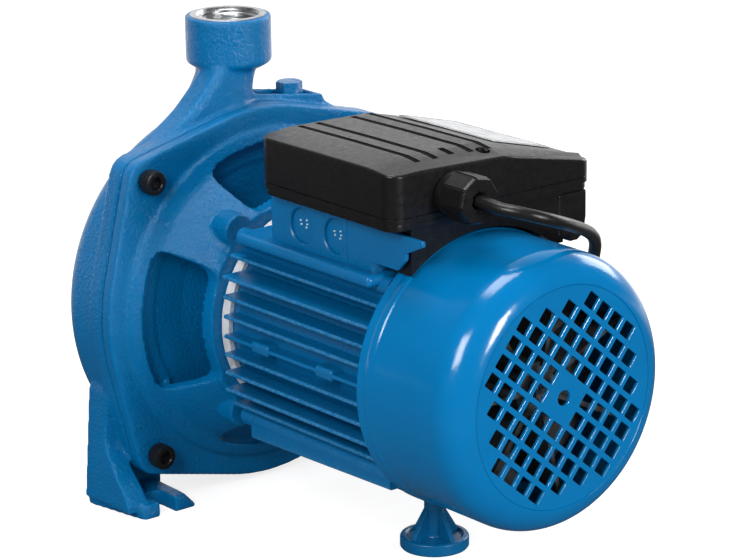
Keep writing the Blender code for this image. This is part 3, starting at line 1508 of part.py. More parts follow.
def cable_route():
    """Points from the gland to the coil, read from the photograph and chosen by hand."""
    start = BOX_REAR + 3 * SEAT_GAP + GLAND_COLLAR_LENGTH + GLAND_NUT_LENGTH
    across, height = coil_profile_size()
    coil_x, coil_y = COIL_CENTRE
    lay = -SHAFT_HEIGHT + CABLE_RADIUS + COIL_LIFT
    join_x = coil_x + COIL_MID_RADIUS + across + CABLE_RADIUS + SEAT_GAP
    return [
        (GLAND_X, start, GLAND_Z),
        (0.0220, 0.2374, 0.0957),
        (0.0209, 0.2446, 0.0949),
        (0.0172, 0.2513, 0.0940),
        (0.0114, 0.2565, 0.0922),
        (0.0038, 0.2592, 0.0896),
        (-0.0042, 0.2590, 0.0866),
        (-0.0122, 0.2562, 0.0834),
        (-0.0205, 0.2520, 0.0799),
        (-0.0290, 0.2473, 0.0763),
        (-0.0373, 0.2425, 0.0725),
        (-0.0450, 0.2378, 0.0684),
        (-0.0518, 0.2328, 0.0638),
        (-0.0576, 0.2274, 0.0580),
        (-0.0624, 0.2214, 0.0508),
        (-0.0668, 0.2148, 0.0414),
        (-0.0712, 0.2080, 0.0300),
        (-0.0752, 0.2014, 0.0164),
        (-0.0780, 0.1950, 0.0016),
        (-0.0800, 0.1884, -0.0140),
        (-0.0816, 0.1812, -0.0300),
        (-0.0826, 0.1726, -0.0456),
        (-0.0830, 0.1624, -0.0600),
        (-0.0830, 0.1504, -0.0728),
        (-0.0828, 0.1372, -0.0836),
        (-0.0825, 0.1232, -0.0922),
        (join_x - 0.0003, 0.1092, -0.0984),
        (join_x, 0.0985, lay + 0.0011),
        (join_x, coil_y, lay),
    ]


def smooth_points(route, count):
    """Points spaced along a smooth curve through the route."""
    dense = []
    padded = [route[0], *route, route[-1]]
    for index in range(1, len(padded) - 2):
        p0, p1, p2, p3 = (Vector(padded[index + shift]) for shift in (-1, 0, 1, 2))
        for step in range(12):
            t = step / 12
            dense.append(0.5 * (
                2 * p1 + (p2 - p0) * t + (2 * p0 - 5 * p1 + 4 * p2 - p3) * t * t
                + (3 * p1 - p0 - 3 * p2 + p3) * t ** 3))
    dense.append(Vector(route[-1]))
    lengths = [0]
    for first, second in zip(dense, dense[1:]):
        lengths.append(lengths[-1] + (second - first).length)
    points = []
    place_index = 0
    for number in range(count):
        goal = lengths[-1] * number / (count - 1)
        while place_index < len(lengths) - 2 and lengths[place_index + 1] < goal:
            place_index += 1
        span = lengths[place_index + 1] - lengths[place_index]
        share = (goal - lengths[place_index]) / span
        points.append(dense[place_index].lerp(dense[place_index + 1], share))
    return points


def supply_cable(finish):
    curve = bpy.data.curves.new("supply_cable", "CURVE")
    curve.dimensions = "3D"
    curve.bevel_depth = CABLE_RADIUS
    curve.bevel_resolution = CABLE_SIDES_RESOLUTION
    curve.use_fill_caps = True
    spline = curve.splines.new("POLY")
    points = smooth_points(cable_route(), CABLE_POINT_COUNT)
    spline.points.add(len(points) - 1)
    for point, spot in zip(spline.points, points):
        point.co = (*spot, 1)
    item = bpy.data.objects.new("supply_cable", curve)
    PARTS.objects.link(item)
    item.parent = PUMP_CENTRE
    curve.materials.append(finish)
    return item


def cable_coil(finish):
    """The outer form of the coiled rest of the cable, lying on the floor."""
    across, height = coil_profile_size()
    inner = COIL_MID_RADIUS - across
    outer = COIL_MID_RADIUS + across
    edge = COIL_EDGE
    floor = -SHAFT_HEIGHT + COIL_LIFT
    coil = turned("cable_coil", [
        (outer - edge, height),
        (outer, height - edge),
        (outer, edge),
        (outer - edge, 0),
        (inner + edge, 0),
        (inner, edge),
        (inner, height - edge),
        (inner + edge, height),
    ], MEDIUM_SIDES, (*COIL_CENTRE, floor), (0, 0, 0), closed=True)
    return place(coil, finish)


def mains_plug(finish):
    """A plain two-pin plug at the cable's end, lying beside the coil."""
    across, _ = coil_profile_size()
    length = PLUG_LENGTH
    coil_x, coil_y = COIL_CENTRE
    height = -SHAFT_HEIGHT + PLUG_FACE_RADIUS + SEAT_GAP
    start = (coil_x, coil_y - COIL_MID_RADIUS - across - SEAT_GAP, height)
    body = turned("mains_plug", [
        (0, length),
        (PLUG_FACE_RADIUS - PLUG_FACE_CHAMFER, length),
        (PLUG_FACE_RADIUS, length - PLUG_FACE_CHAMFER),
        (PLUG_FACE_RADIUS, length - PLUG_FACE_LENGTH),
        (PLUG_GRIP_RADIUS, length - PLUG_GRIP_END),
        *PLUG_TAPER,
        (0, 0),
    ], PLUG_SIDES, start, FACE_MINUS_Y)
    for side in (-1, 1):
        spot = (start[0] + side * PIN_OFFSET, start[1] - length + OVERSHOOT / 2, start[2])
        add(body, rod(f"plug_pin_{side}", PIN_RADIUS, PIN_LENGTH + OVERSHOOT / 2, spot, FACE_MINUS_Y, 12))
    return place(body, finish)


# Assembly

def build():
    cast_blue = blue_cast_iron()
    motor_blue = blue_motor_paint()
    black = black_plastic()
    oxide = black_oxide()
    steel = bright_steel()
    rubber = black_rubber()

    volute_casing(cast_blue)
    motor_bracket(cast_blue)
    for name, x, z in screw_places():
        casing_screw(name, x, z, oxide)
    pad_top = (PRIMING_X, PRIMING_Y, CASING_RADIUS + PLUG_SEAT_RISE + SEAT_GAP)
    hex_plug("priming_plug", pad_top, (0, 0, radians(30)), cast_blue)
    hex_plug("drain_plug", (0, -CASING_FRONT - SEAT_GAP, DRAIN_HEIGHT), FACE_MINUS_Y, cast_blue)

    motor_housing(motor_blue)
    end_shield(motor_blue)
    fan_cover(blue_cover_paint())
    support_foot(blue_plastic())

    terminal_tray(black)
    terminal_lid(black)
    capacitor_pocket(black)
    rating_plate(label_silver())
    gland_collar(black)
    gland_nut(black)
    supply_cable(rubber)
    cable_coil(rubber)
    mains_plug(rubber)

    shaft(steel)
    impeller(brass())
    impeller_nut(steel)
    seal_ring(steel)
    seal_seat(grey_polymer())
    slinger(rubber)
    cooling_fan(grey_polymer())
    bpy.context.view_layer.update()


build()
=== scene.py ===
"""The looks of the surface pump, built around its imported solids. Metres, +Z up.

Shapes are written in the working frame of the part's source, whose origin lies on
the shaft's axis in the plane of the discharge port, and are then moved by OFFSET.
"""
from math import acos, atan2, cos, hypot, pi, radians, sin, sqrt

import bmesh
import bpy
from mathutils import Matrix, Vector


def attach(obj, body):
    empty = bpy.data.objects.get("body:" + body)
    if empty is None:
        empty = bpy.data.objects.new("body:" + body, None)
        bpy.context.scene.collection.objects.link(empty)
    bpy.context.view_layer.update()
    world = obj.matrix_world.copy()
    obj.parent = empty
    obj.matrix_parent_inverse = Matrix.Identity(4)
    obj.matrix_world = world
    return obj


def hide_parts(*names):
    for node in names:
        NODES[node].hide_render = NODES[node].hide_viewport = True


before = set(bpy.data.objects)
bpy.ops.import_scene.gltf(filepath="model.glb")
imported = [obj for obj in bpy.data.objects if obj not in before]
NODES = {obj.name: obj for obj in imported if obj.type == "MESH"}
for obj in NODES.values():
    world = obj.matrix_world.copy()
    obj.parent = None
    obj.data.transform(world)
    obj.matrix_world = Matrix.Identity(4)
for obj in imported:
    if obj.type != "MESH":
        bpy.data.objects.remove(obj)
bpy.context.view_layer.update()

PORT_PLANE = -0.1085
SHAFT_HEIGHT = 0.106
OFFSET = Vector((0, PORT_PLANE, SHAFT_HEIGHT))
FLOOR = -SHAFT_HEIGHT
SEAT_GAP = 0.0003
OVERSHOOT = 0.002

VOXEL = 0.0010
MOST_TRIANGLES = 185000
ROUND = 144


def link(name, data):
    """A new object in the scene around its mesh, curve, light or camera data."""
    item = bpy.data.objects.new(name, data)
    bpy.context.scene.collection.objects.link(item)
    return item


# Camera and light

def make_camera():
    data = bpy.data.cameras.new("camera")
    data.sensor_width = 36
    data.lens = 155.318
    data.clip_start = 0.05
    data.clip_end = 50
    item = link("camera", data)
    right = Vector((-0.77600, 0.63057, -0.01438))
    up = Vector((-0.19203, -0.21448, 0.95766))
    back = Vector((0.60079, 0.74590, 0.28753))
    turn = Matrix((right, up, back)).transposed().to_4x4()
    item.matrix_world = Matrix.Translation((0.98653, 1.23040, 0.60396)) @ turn
    bpy.context.scene.camera = item


make_camera()


def area_light(name, place, width, height, power):
    data = bpy.data.lights.new(name, "AREA")
    data.shape = "RECTANGLE"
    data.size = width
    data.size_y = height
    data.energy = power
    item = link(name, data)
    item.location = place
    item.rotation_mode = "QUATERNION"
    item.rotation_quaternion = (Vector(LIGHTS_AIM) - Vector(place)).to_track_quat("-Z", "Y")


LIGHTS_AIM = (0, 0, 0.11)
area_light("key", (-0.20, 2.00, 0.62), 0.30, 0.60, 26)
area_light("side", (1.13, 0.50, 0.85), 0.42, 0.55, 12)
area_light("top", (0.0, -0.2, 2.0), 0.9, 0.9, 24)
area_light("rim", (-1.8, -0.15, 0.8), 0.9, 0.7, 12)

bpy.context.scene.view_settings.view_transform = "Standard"


# Node materials

def nodes_of(name):
    """A new material with its node tree and its shader."""
    made = bpy.data.materials.new(name)
    made.use_nodes = True
    tree = made.node_tree
    return made, tree, tree.nodes["Principled BSDF"]


def noise(tree, scale, detail=4.0, roughness=0.55, stretch=None):
    """Noise over the object's own coordinates."""
    place = tree.nodes.new("ShaderNodeTexCoord").outputs["Object"]
    if stretch is not None:
        mapping = tree.nodes.new("ShaderNodeMapping")
        mapping.inputs["Scale"].default_value = stretch
        tree.links.new(place, mapping.inputs["Vector"])
        place = mapping.outputs["Vector"]
    made = tree.nodes.new("ShaderNodeTexNoise")
    made.inputs["Scale"].default_value = scale
    made.inputs["Detail"].default_value = detail
    made.inputs["Roughness"].default_value = roughness
    tree.links.new(place, made.inputs["Vector"])
    return made.outputs["Fac"]


def ranged(tree, value, low, high, start, end):
    made = tree.nodes.new("ShaderNodeMapRange")
    for name, number in (("From Min", low), ("From Max", high), ("To Min", start), ("To Max", end)):
        made.inputs[name].default_value = number
    tree.links.new(value, made.inputs["Value"])
    return made.outputs["Result"]


def combined(tree, operation, first, second):
    made = tree.nodes.new("ShaderNodeMath")
    made.operation = operation
    for socket, value in zip(made.inputs, (first, second)):
        if isinstance(value, (int, float)):
            socket.default_value = value
        else:
            tree.links.new(value, socket)
    return made.outputs[0]


def blended(tree, share, first, second):
    """Two colours mixed by a share; each is a colour triple or a socket."""
    made = tree.nodes.new("ShaderNodeMix")
    made.data_type = "RGBA"
    tree.links.new(share, made.inputs[0])
    for socket, value in ((made.inputs[6], first), (made.inputs[7], second)):
        if isinstance(value, tuple):
            socket.default_value = (*value, 1)
        else:
            tree.links.new(value, socket)
    return made.outputs[2]


# The white backdrop stands on this side of the object; the studio's other sides are dimmer
BACKDROP = (-0.627, -0.779, 0)
DIM_SIDE = 0.05


def seen_directly(tree, coordinates, low, high):
    """How much shows: to the camera 1; to reflected and refracted rays 1 towards the backdrop.

    The second value is what such rays miss.
    """
    path = tree.nodes.new("ShaderNodeLightPath")
    place = tree.nodes.new("ShaderNodeTexCoord").outputs[coordinates]
    towards = tree.nodes.new("ShaderNodeVectorMath")
    towards.operation = "DOT_PRODUCT"
    tree.links.new(place, towards.inputs[0])
    towards.inputs[1].default_value = BACKDROP
    share = ranged(tree, towards.outputs["Value"], low, high, DIM_SIDE, 1)
    bent = combined(tree, "ADD", path.outputs["Is Glossy Ray"], path.outputs["Is Transmission Ray"])
    shown = combined(tree, "MULTIPLY", bent, share)
    total = combined(tree, "ADD", path.outputs["Is Camera Ray"], shown)
    return combined(tree, "MINIMUM", total, 1), combined(tree, "SUBTRACT", bent, shown)


def make_world(ambient):
    world = bpy.data.worlds.new("studio")
    world.use_nodes = True
    bpy.context.scene.world = world
    tree = world.node_tree
    plain = tree.nodes["Background"]
    plain.inputs["Color"].default_value = (1, 1, 1, 1)
    plain.inputs["Strength"].default_value = ambient
    white = tree.nodes.new("ShaderNodeBackground")
    white.inputs["Color"].default_value = (1, 1, 1, 1)
    white.inputs["Strength"].default_value = 1
    mixed = tree.nodes.new("ShaderNodeMixShader")
    dark = tree.nodes.new("ShaderNodeMixShader")
    path = tree.nodes.new("ShaderNodeLightPath")
    tree.links.new(path.outputs["Is Diffuse Ray"], dark.inputs["Fac"])
    tree.links.new(plain.outputs[0], dark.inputs[2])
    tree.links.new(seen_directly(tree, "Generated", 0.30, 0.85)[0], mixed.inputs["Fac"])
    tree.links.new(dark.outputs[0], mixed.inputs[1])
    tree.links.new(white.outputs[0], mixed.inputs[2])
    tree.links.new(mixed.outputs[0], tree.nodes["World Output"].inputs["Surface"])


def make_floor(albedo, glow):
    """A pale floor that reads as white and keeps the object's shadow."""
    shape = bmesh.new()
    bmesh.ops.create_circle(shape, cap_ends=True, segments=96, radius=6)
    mesh = bpy.data.meshes.new("floor")
    shape.to_mesh(mesh)
    shape.free()
    floor = link("floor", mesh)
    made, tree, shader = nodes_of("floor")
    shown, missed = seen_directly(tree, "Object", 0.25, 0.80)
    pale = (albedo, albedo, albedo)
    tree.links.new(blended(tree, missed, pale, (0.0, 0.0, 0.0)), shader.inputs["Base Color"])
    shader.inputs["Roughness"].default_value = 0.9
    shader.inputs["Specular IOR Level"].default_value = 0
    glowing = tree.nodes.new("ShaderNodeEmission")
    tree.links.new(combined(tree, "MULTIPLY", shown, glow), glowing.inputs["Strength"])
    both = tree.nodes.new("ShaderNodeAddShader")
    tree.links.new(shader.outputs[0], both.inputs[0])
    tree.links.new(glowing.outputs[0], both.inputs[1])
    tree.links.new(both.outputs[0], tree.nodes["Material Output"].inputs["Surface"])
    mesh.materials.append(made)


make_world(0.42)
make_floor(0.40, 0.80)


def bumped(tree, shader, *layers):
    """Chain bump layers of (height, depth in metres, strength) into the shader's normal."""
    normal = None
    for height, depth, strength in layers:
        made = tree.nodes.new("ShaderNodeBump")
        made.inputs["Strength"].default_value = strength
        made.inputs["Distance"].default_value = depth
        tree.links.new(height, made.inputs["Height"])
        if normal is not None:
            tree.links.new(normal, made.inputs["Normal"])
        normal = made.outputs["Normal"]
    tree.links.new(normal, shader.inputs["Normal"])


def edge_highlight_share(tree, low, high):
    """A share that is high on outer edges of a dense mesh, broken up by noise; a paler painted highlight goes
    there.
    """
    edge = tree.nodes.new("ShaderNodeNewGeometry").outputs["Pointiness"]
    edge = ranged(tree, edge, low, high, 0, 1)
    return combined(tree, "MULTIPLY", edge, ranged(tree, noise(tree, 700), 0.42, 0.60, 0, 1))


def shade(colour, factor):
    return tuple(min(1, part * factor) for part in colour)


def skin(tree, shader, colour, wear, low, high):
    """Link a colour, and a roughness that follows a noise between two values."""
    tree.links.new(colour, shader.inputs["Base Color"])
    tree.links.new(ranged(tree, wear, 0.3, 0.7, low, high), shader.inputs["Roughness"])


def cast_paint(name, colour, roughness, grain, edge_highlight):
    """Gloss paint over rough cast iron, with painted shade in the grain's low spots; the last colour is a
    paler painted highlight on outer edges.
    """
    made, tree, shader = nodes_of(name)
    broad = ranged(tree, noise(tree, 28, 3), 0.3, 0.7, 0, 1)
    fine = noise(tree, 560, 3, 0.65)
    # Painted shade: the low spots of the grain's bump are darkened
    pit_shade = ranged(tree, fine, 0.30, 0.40, 0.5, 0)
    body = blended(tree, broad, shade(colour, 0.90), shade(colour, 1.06))
    body = blended(tree, pit_shade, body, shade(colour, 0.45))
    # Painted highlight: outer edges are made paler
    body = blended(tree, edge_highlight_share(tree, 0.56, 0.66), body, edge_highlight)
    skin(tree, shader, body, noise(tree, 160), roughness - 0.06, roughness + 0.10)
    shader.inputs["Specular IOR Level"].default_value = 0.30
    bumped(tree, shader, (noise(tree, 130, 2), 0.0006, 0.12), (fine, grain, 0.9))
    return made


def smooth_paint(name, colour, roughness, ripple, edge_highlight=None):
    """Sprayed paint with a faint orange peel and dust specks; a last colour, when given, is a paler painted
    highlight on outer edges.
    """
    made, tree, shader = nodes_of(name)
    broad = ranged(tree, noise(tree, 16, 3), 0.3, 0.7, 0, 1)
    body = blended(tree, broad, shade(colour, 0.93), shade(colour, 1.05))
    if edge_highlight is not None:
        # Painted highlight: outer edges are made paler
        body = blended(tree, edge_highlight_share(tree, 0.58, 0.68), body, edge_highlight)
    skin(tree, shader, body, noise(tree, 90), roughness - 0.03, roughness + 0.05)
    shader.inputs["Specular IOR Level"].default_value = 0.45
    bumped(tree, shader, (noise(tree, 260, 2), 0.0004, ripple), (noise(tree, 1500, 2), 0.00005, 0.5))
    return made


def plastic(name, colour, roughness, grain):
    """Moulded plastic with a spark-eroded grain and paler scuffs."""
    made, tree, shader = nodes_of(name)
    scuffs = ranged(tree, noise(tree, 60, 6, 0.7), 0.60, 0.80, 0, 0.5)
    broad = ranged(tree, noise(tree, 20), 0.3, 0.7, 0, 1)
    body = blended(tree, broad, shade(colour, 0.85), shade(colour, 1.15))
    body = blended(tree, scuffs, body, shade(colour, 1.8))
    skin(tree, shader, body, noise(tree, 300), roughness - 0.05, roughness + 0.08)
    shader.inputs["Specular IOR Level"].default_value = 0.4
    bumped(tree, shader, (noise(tree, 1700, 3, 0.7), grain, 0.8), (noise(tree, 60, 2), 0.0006, 0.15))
    return made


def metal(name, colour, roughness, stretch, depth, metallic=1.0):
    """Machined metal with turning marks along one way and small stains."""
    made, tree, shader = nodes_of(name)
    marks = noise(tree, 900, 3, 0.6, stretch)
    stains = ranged(tree, noise(tree, 130, 5, 0.6), 0.45, 0.7, 0, 0.8)
    body = blended(tree, stains, colour, shade(colour, 0.55))
    skin(tree, shader, body, marks, roughness - 0.08, roughness + 0.12)
    shader.inputs["Metallic"].default_value = metallic
    bumped(tree, shader, (marks, depth, 0.7))
    return made


def oxide(name):
    """Black oxide on steel, with rubbed bright spots scattered by noise."""
    made, tree, shader = nodes_of(name)
    rubbed = ranged(tree, noise(tree, 900, 5, 0.7), 0.62, 0.72, 0, 0.6)
    body = blended(tree, rubbed, (0.012, 0.012, 0.013), (0.10, 0.10, 0.10))
    skin(tree, shader, body, noise(tree, 500), 0.24, 0.42)
    shader.inputs["Metallic"].default_value = 0.35
    bumped(tree, shader, (noise(tree, 1300, 3), 0.0001, 0.7))
    return made


BLUE = (0.0, 0.134, 0.348)
FINISHES = {name: make(name, *values) for name, make, *values in (
    # The last colour of the two blue paints below is a paler painted highlight for their outer edges
    ("blue_cast_iron", cast_paint, BLUE, 0.12, 0.00090, (0.08, 0.30, 0.48)),
    ("blue_motor_paint", smooth_paint, (0.0, 0.124, 0.318), 0.28, 0.25, (0.1, 0.3, 0.5)),
    ("blue_cover_paint", smooth_paint, (0.0, 0.142, 0.362), 0.13, 0.10),
    ("blue_plastic", plastic, (0.0, 0.108, 0.275), 0.28, 0.00006),
    ("black_plastic", plastic, (0.0065, 0.006, 0.0065), 0.30, 0.00006),
    ("black_oxide_steel", oxide),
    ("bright_steel", metal, (0.60, 0.61, 0.62), 0.28, (1, 14, 1), 0.00006),
    ("brass", metal, (0.66, 0.47, 0.20), 0.30, (1, 1, 1), 0.00008),
    ("black_rubber", plastic, (0.008, 0.008, 0.008), 0.32, 0.00006),
    ("label_silver", metal, (0.62, 0.63, 0.64), 0.40, (1, 9, 1), 0.00004, 0.35),
    ("grey_polymer", plastic, (0.06, 0.065, 0.07), 0.5, 0.00008),
    # Near white and mostly not metallic: a bare register with a painted reflection in its colour
    ("bare_register_metal", metal, (0.86, 0.87, 0.87), 0.45, (1, 14, 1), 0.00004, 0.3),
    # Pale cyan and nearly not metallic: painted glints on the small knock-out bumps
    ("speck_metal", metal, (0.60, 0.80, 0.88), 0.30, (1, 1, 1), 0.00004, 0.1),
)}


# Mesh building

def mesh_item(name, shape):
    bmesh.ops.recalc_face_normals(shape, faces=shape.faces)
    mesh = bpy.data.meshes.new(name)
    shape.to_mesh(mesh)
    shape.free()
    return link(name, mesh)


def turned(name, profile, steps=ROUND, centre=(0, 0, 0), axis="+Y", closed=False, wave=None):
    """Turn (radius, height) points about an axis; wave(angle, index) may change a radius."""
    shape = bmesh.new()
    rings = []
    for index, (radius, height) in enumerate(profile):
        if radius < 1e-9:
            rings.append([shape.verts.new(on_axis(axis, centre, 0, 0, height))])
            continue
        ring = []
        for step in range(steps):
            angle = 2 * pi * step / steps
            reach = radius if wave is None else radius + wave(angle, index)
            place = on_axis(axis, centre, reach * cos(angle), reach * sin(angle), height)
            ring.append(shape.verts.new(place))
        rings.append(ring)
    pairs = list(zip(rings, rings[1:]))
    if closed:
        pairs.append((rings[-1], rings[0]))
    for first, second in pairs:
        bridge(shape, first, second)
    return mesh_item(name, shape)


def rod(name, radius, first, last, steps=ROUND, centre=(0, 0, 0), axis="+Y"):
    """A plain round body between two heights."""
    return turned(name, [(0, first), (radius, first), (radius, last), (0, last)], steps, centre, axis)


def on_axis(axis, centre, across, up, height):
    x, y, z = centre
    if axis == "+Y":
        return (x + across, y + height, z + up)
    if axis == "-Y":
        return (x - across, y - height, z + up)
    if axis == "+X":
        return (x + height, y + across, z + up)
    return (x + across, y + up, z + height)


def bridge(shape, first, second):
    """Faces between two closed rings, either of which may be a single point."""
    count = max(len(first), len(second))
    if count == 1:
        return
    for index in range(count):
        following = (index + 1) % count
        if len(first) == 1:
            shape.faces.new((first[0], second[following], second[index]))
        elif len(second) == 1:
            shape.faces.new((first[index], first[following], second[0]))
        else:
            shape.faces.new((first[index], first[following], second[following], second[index]))


def loft(name, rings):
    """A closed body through rings of points, each with the same count."""
    shape = bmesh.new()
    made = [[shape.verts.new(point) for point in ring] for ring in rings]
    shape.faces.new(made[0][::-1])
    shape.faces.new(made[-1])
    for low, high in zip(made, made[1:]):
        bridge(shape, low, high)
    return mesh_item(name, shape)


def upright(name, outline, front, rear):
    """An outline in X and Z that fills the length from front to rear."""
    return loft(name, [[(x, y, z) for x, z in outline] for y in (front, rear)])


def flat(name, outline, bottom, top):
    """An outline in X and Y that fills the height from bottom to top."""
    return loft(name, [[(x, y, z) for x, y in outline] for z in (bottom, top)])


def block(name, low, high, edge=0.0, segments=2):
    """A block between two corners, its edges rounded."""
    shape = bmesh.new()
    bmesh.ops.create_cube(shape, size=1)
    for vertex in shape.verts:
        vertex.co = Vector([
            (a + b) / 2 + part * (b - a) for part, a, b in zip(vertex.co, low, high)])
    if edge:
        bmesh.ops.bevel(
            shape, geom=shape.edges[:], offset=edge, segments=segments, affect="EDGES", profile=0.5)
    return mesh_item(name, shape)


def settle(item):
    """Apply the modifiers of a piece."""
    bpy.context.view_layer.update()
    seen = item.evaluated_get(bpy.context.evaluated_depsgraph_get())
    mesh = bpy.data.meshes.new_from_object(seen)
    old = item.data
    item.modifiers.clear()
    item.data = mesh
    bpy.data.meshes.remove(old)
    return item


def combine(target, tools, operation):
    for tool in tools:
        step = target.modifiers.new(tool.name, "BOOLEAN")
        step.operation = operation
        step.solver = "EXACT"
        step.object = tool
    settle(target)
    for tool in tools:
        discard(tool)
    return target


def discard(item):
    mesh = item.data
    bpy.data.objects.remove(item)
    bpy.data.meshes.remove(mesh)


def add(target, *tools):
    return combine(target, tools, "UNION")


def cut(target, *tools):
    return combine(target, tools, "DIFFERENCE")


def join_loose(target, *others):
    """Put the meshes of other pieces into one, without welding them."""
    shape = bmesh.new()
    shape.from_mesh(target.data)
    for other in others:
        shape.from_mesh(other.data)
        discard(other)
    shape.to_mesh(target.data)
    shape.free()
    return target


def soften(item, width, segments=2, angle=40):
    step = item.modifiers.new("edge", "BEVEL")
    step.width = width
    step.segments = segments
    step.limit_method = "ANGLE"
    step.angle_limit = radians(angle)
    step.use_clamp_overlap = True
    return settle(item)


def cast(item, voxel=VOXEL, passes=2):
    """Remesh a shape finely and relax it, so that its edges round off like a casting's."""
    remesh = item.modifiers.new("remesh", "REMESH")
    remesh.mode = "VOXEL"
    remesh.voxel_size = voxel
    relax = item.modifiers.new("relax", "SMOOTH")
    relax.factor = 0.5
    relax.iterations = passes
    settle(item)
    count = sum(len(face.vertices) - 2 for face in item.data.polygons)
    if count > MOST_TRIANGLES:
        thin = item.modifiers.new("thin", "DECIMATE")
        thin.ratio = MOST_TRIANGLES / count
        settle(item)
    return item


def dress(item, slot, replaced=(), smooth=None, finish=None):
    """Give a standing piece the finish named by its slot, or by finish when given, and move it to its place in
    the row frame.
    """
    item.data.materials.clear()
    item.data.materials.append(FINISHES[finish or slot])
    item.data.shade_smooth()
    if smooth is not None:
        item.data.set_sharp_from_angle(angle=radians(smooth))
        weighted = item.modifiers.new("shading", "WEIGHTED_NORMAL")
        weighted.keep_sharp = True
    item.location = OFFSET
    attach(item, "pump")
    if replaced:
        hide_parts(*replaced)
    return item


# Outlines

def arc(centre, radius, start, end, steps):
    x, y = centre
    angles = [start + (end - start) * step / steps for step in range(steps + 1)]
    return [(x + radius * cos(angle), y + radius * sin(angle)) for angle in angles]


def hull(points):
    ordered = sorted(set((round(x, 7), round(y, 7)) for x, y in points))

    def half(sequence):
        chain = []
        for point in sequence:
            while len(chain) > 1 and turn(chain[-2], chain[-1], point) <= 0:
                chain.pop()
            chain.append(point)
        return chain[:-1]

    return half(ordered) + half(reversed(ordered))


def turn(a, b, c):
    return (b[0] - a[0]) * (c[1] - a[1]) - (b[1] - a[1]) * (c[0] - a[0])


def rounded(corners, radius, steps=6):
    """A polygon whose corners are rounded; radius is one number or one for each corner."""
    outline = []
    count = len(corners)
    for index, corner in enumerate(corners):
        size = radius[index] if isinstance(radius, (list, tuple)) else radius
        here = Vector(corner)
        before = (Vector(corners[index - 1]) - here).normalized()
        after = (Vector(corners[(index + 1) % count]) - here).normalized()
        half_angle = before.angle(after) / 2
        middle = here + (before + after).normalized() * size / sin(half_angle)
        reach = size * cos(half_angle) / sin(half_angle)
        start = here + before * reach - middle
        end = here + after * reach - middle
        first = atan2(start.y, start.x)
        sweep = atan2(end.y, end.x) - first
        sweep = (sweep + pi) % (2 * pi) - pi
        outline += arc(middle, size, first, first + sweep, steps)
    return outline


def rectangle(across, up):
    return [(-across, -up), (across, -up), (across, up), (-across, up)]


def corner_places(across, up):
    return [(side * across, level * up) for level in (1, -1) for side in (-1, 1)]


# Supply cable: route, coil, tie and plug

CABLE_RADIUS = 0.00325
BOX_REAR = 0.210
GLAND_X = 0.022
GLAND_Z = 0.096
GLAND_COLLAR_LENGTH = 0.004
GLAND_NUT_LENGTH = 0.0165
GLAND_END = BOX_REAR + 3 * SEAT_GAP + GLAND_COLLAR_LENGTH + GLAND_NUT_LENGTH
COIL_X = -0.128
COIL_Y = 0.090
COIL_LAY = FLOOR + CABLE_RADIUS + 0.0006
COIL_OUTER = 0.0393
COIL_INNER = 0.0327
COIL_STEP = 0.0066
PLUG_START = (COIL_X, 0.0472, FLOOR + 0.0183)

CABLE_ROUTE = [
    (GLAND_X, GLAND_END - 0.002, GLAND_Z),
    (0.0220, 0.2374, 0.0957),
    (0.0209, 0.2446, 0.0949),
    (0.0172, 0.2513, 0.0940),
    (0.0114, 0.2565, 0.0922),
    (0.0038, 0.2592, 0.0896),
    (-0.0042, 0.2590, 0.0866),
    (-0.0122, 0.2562, 0.0834),
    (-0.0205, 0.2520, 0.0799),
    (-0.0290, 0.2473, 0.0763),
    (-0.0373, 0.2425, 0.0725),
    (-0.0450, 0.2378, 0.0684),
    (-0.0518, 0.2328, 0.0638),
    (-0.0576, 0.2274, 0.0580),
    (-0.0624, 0.2214, 0.0508),
    (-0.0668, 0.2148, 0.0414),
    (-0.0712, 0.2080, 0.0300),
    (-0.0752, 0.2014, 0.0164),
    (-0.0780, 0.1950, 0.0016),
    (-0.0800, 0.1884, -0.0140),
    (-0.0816, 0.1812, -0.0300),
    (-0.0826, 0.1726, -0.0456),
    (-0.0830, 0.1624, -0.0600),
    (-0.0830, 0.1504, -0.0728),
    (-0.0828, 0.1372, -0.0836),
    (-0.0825, 0.1232, -0.0922),
    (-0.0822, 0.1092, -0.0981),
    (-0.0820, 0.0985, -0.1011),
]


def eased(value, start, end):
    share = min(1, max(0, (value - start) / (end - start)))
    return share * share * (3 - 2 * share)


def coil_points():
    """The turns, clockwise from above: two tracks on the floor, two on top, then the way out."""
    points = []
    last = 7.667 * pi
    steps = 230
    for step in range(steps):
        angle = last * step / steps
        around = angle / pi
        radius = 0.04605 - (0.04605 - COIL_OUTER) * eased(around, 0, 1)
        radius -= (COIL_OUTER - COIL_INNER) * eased(around, 2, 2.6)
        radius += (COIL_OUTER - COIL_INNER) * eased(around, 5.0, 5.7)
        height = COIL_LAY + COIL_STEP * (eased(around, 3.7, 4.3) + eased(around, 6.7, 7.35))
        points.append((COIL_X + radius * cos(angle), COIL_Y - radius * sin(angle), height))
    return points


def way_to_plug():
    """Two arcs that lead from the top of the coil across it to the plug."""
    tight = 0.026
    leave = pi / 3
    centre = Vector((COIL_X + (COIL_OUTER - tight) * cos(leave), COIL_Y + (COIL_OUTER - tight) * sin(leave)))
    finish = -atan2(sqrt(1 - 0.372 ** 2), 0.372)
    height = COIL_LAY + 2 * COIL_STEP
    points = [(x, y, height) for x, y in arc(centre, tight, leave, finish, 30)]
    other = centre + 2 * tight * Vector((cos(finish), sin(finish)))
    back = finish + pi
    points += [(x, y, height) for x, y in arc(other, tight, back, pi, 16)[1:]]
    rise = PLUG_START[2] - height
    count = 18
    for step in range(count):
        spot = points[-count + step]
        points[-count + step] = (spot[0], spot[1], height + rise * eased(step + 1, 0, count))
    points.append(PLUG_START)
    points.append((PLUG_START[0], PLUG_START[1] - 0.003, PLUG_START[2]))
    return points


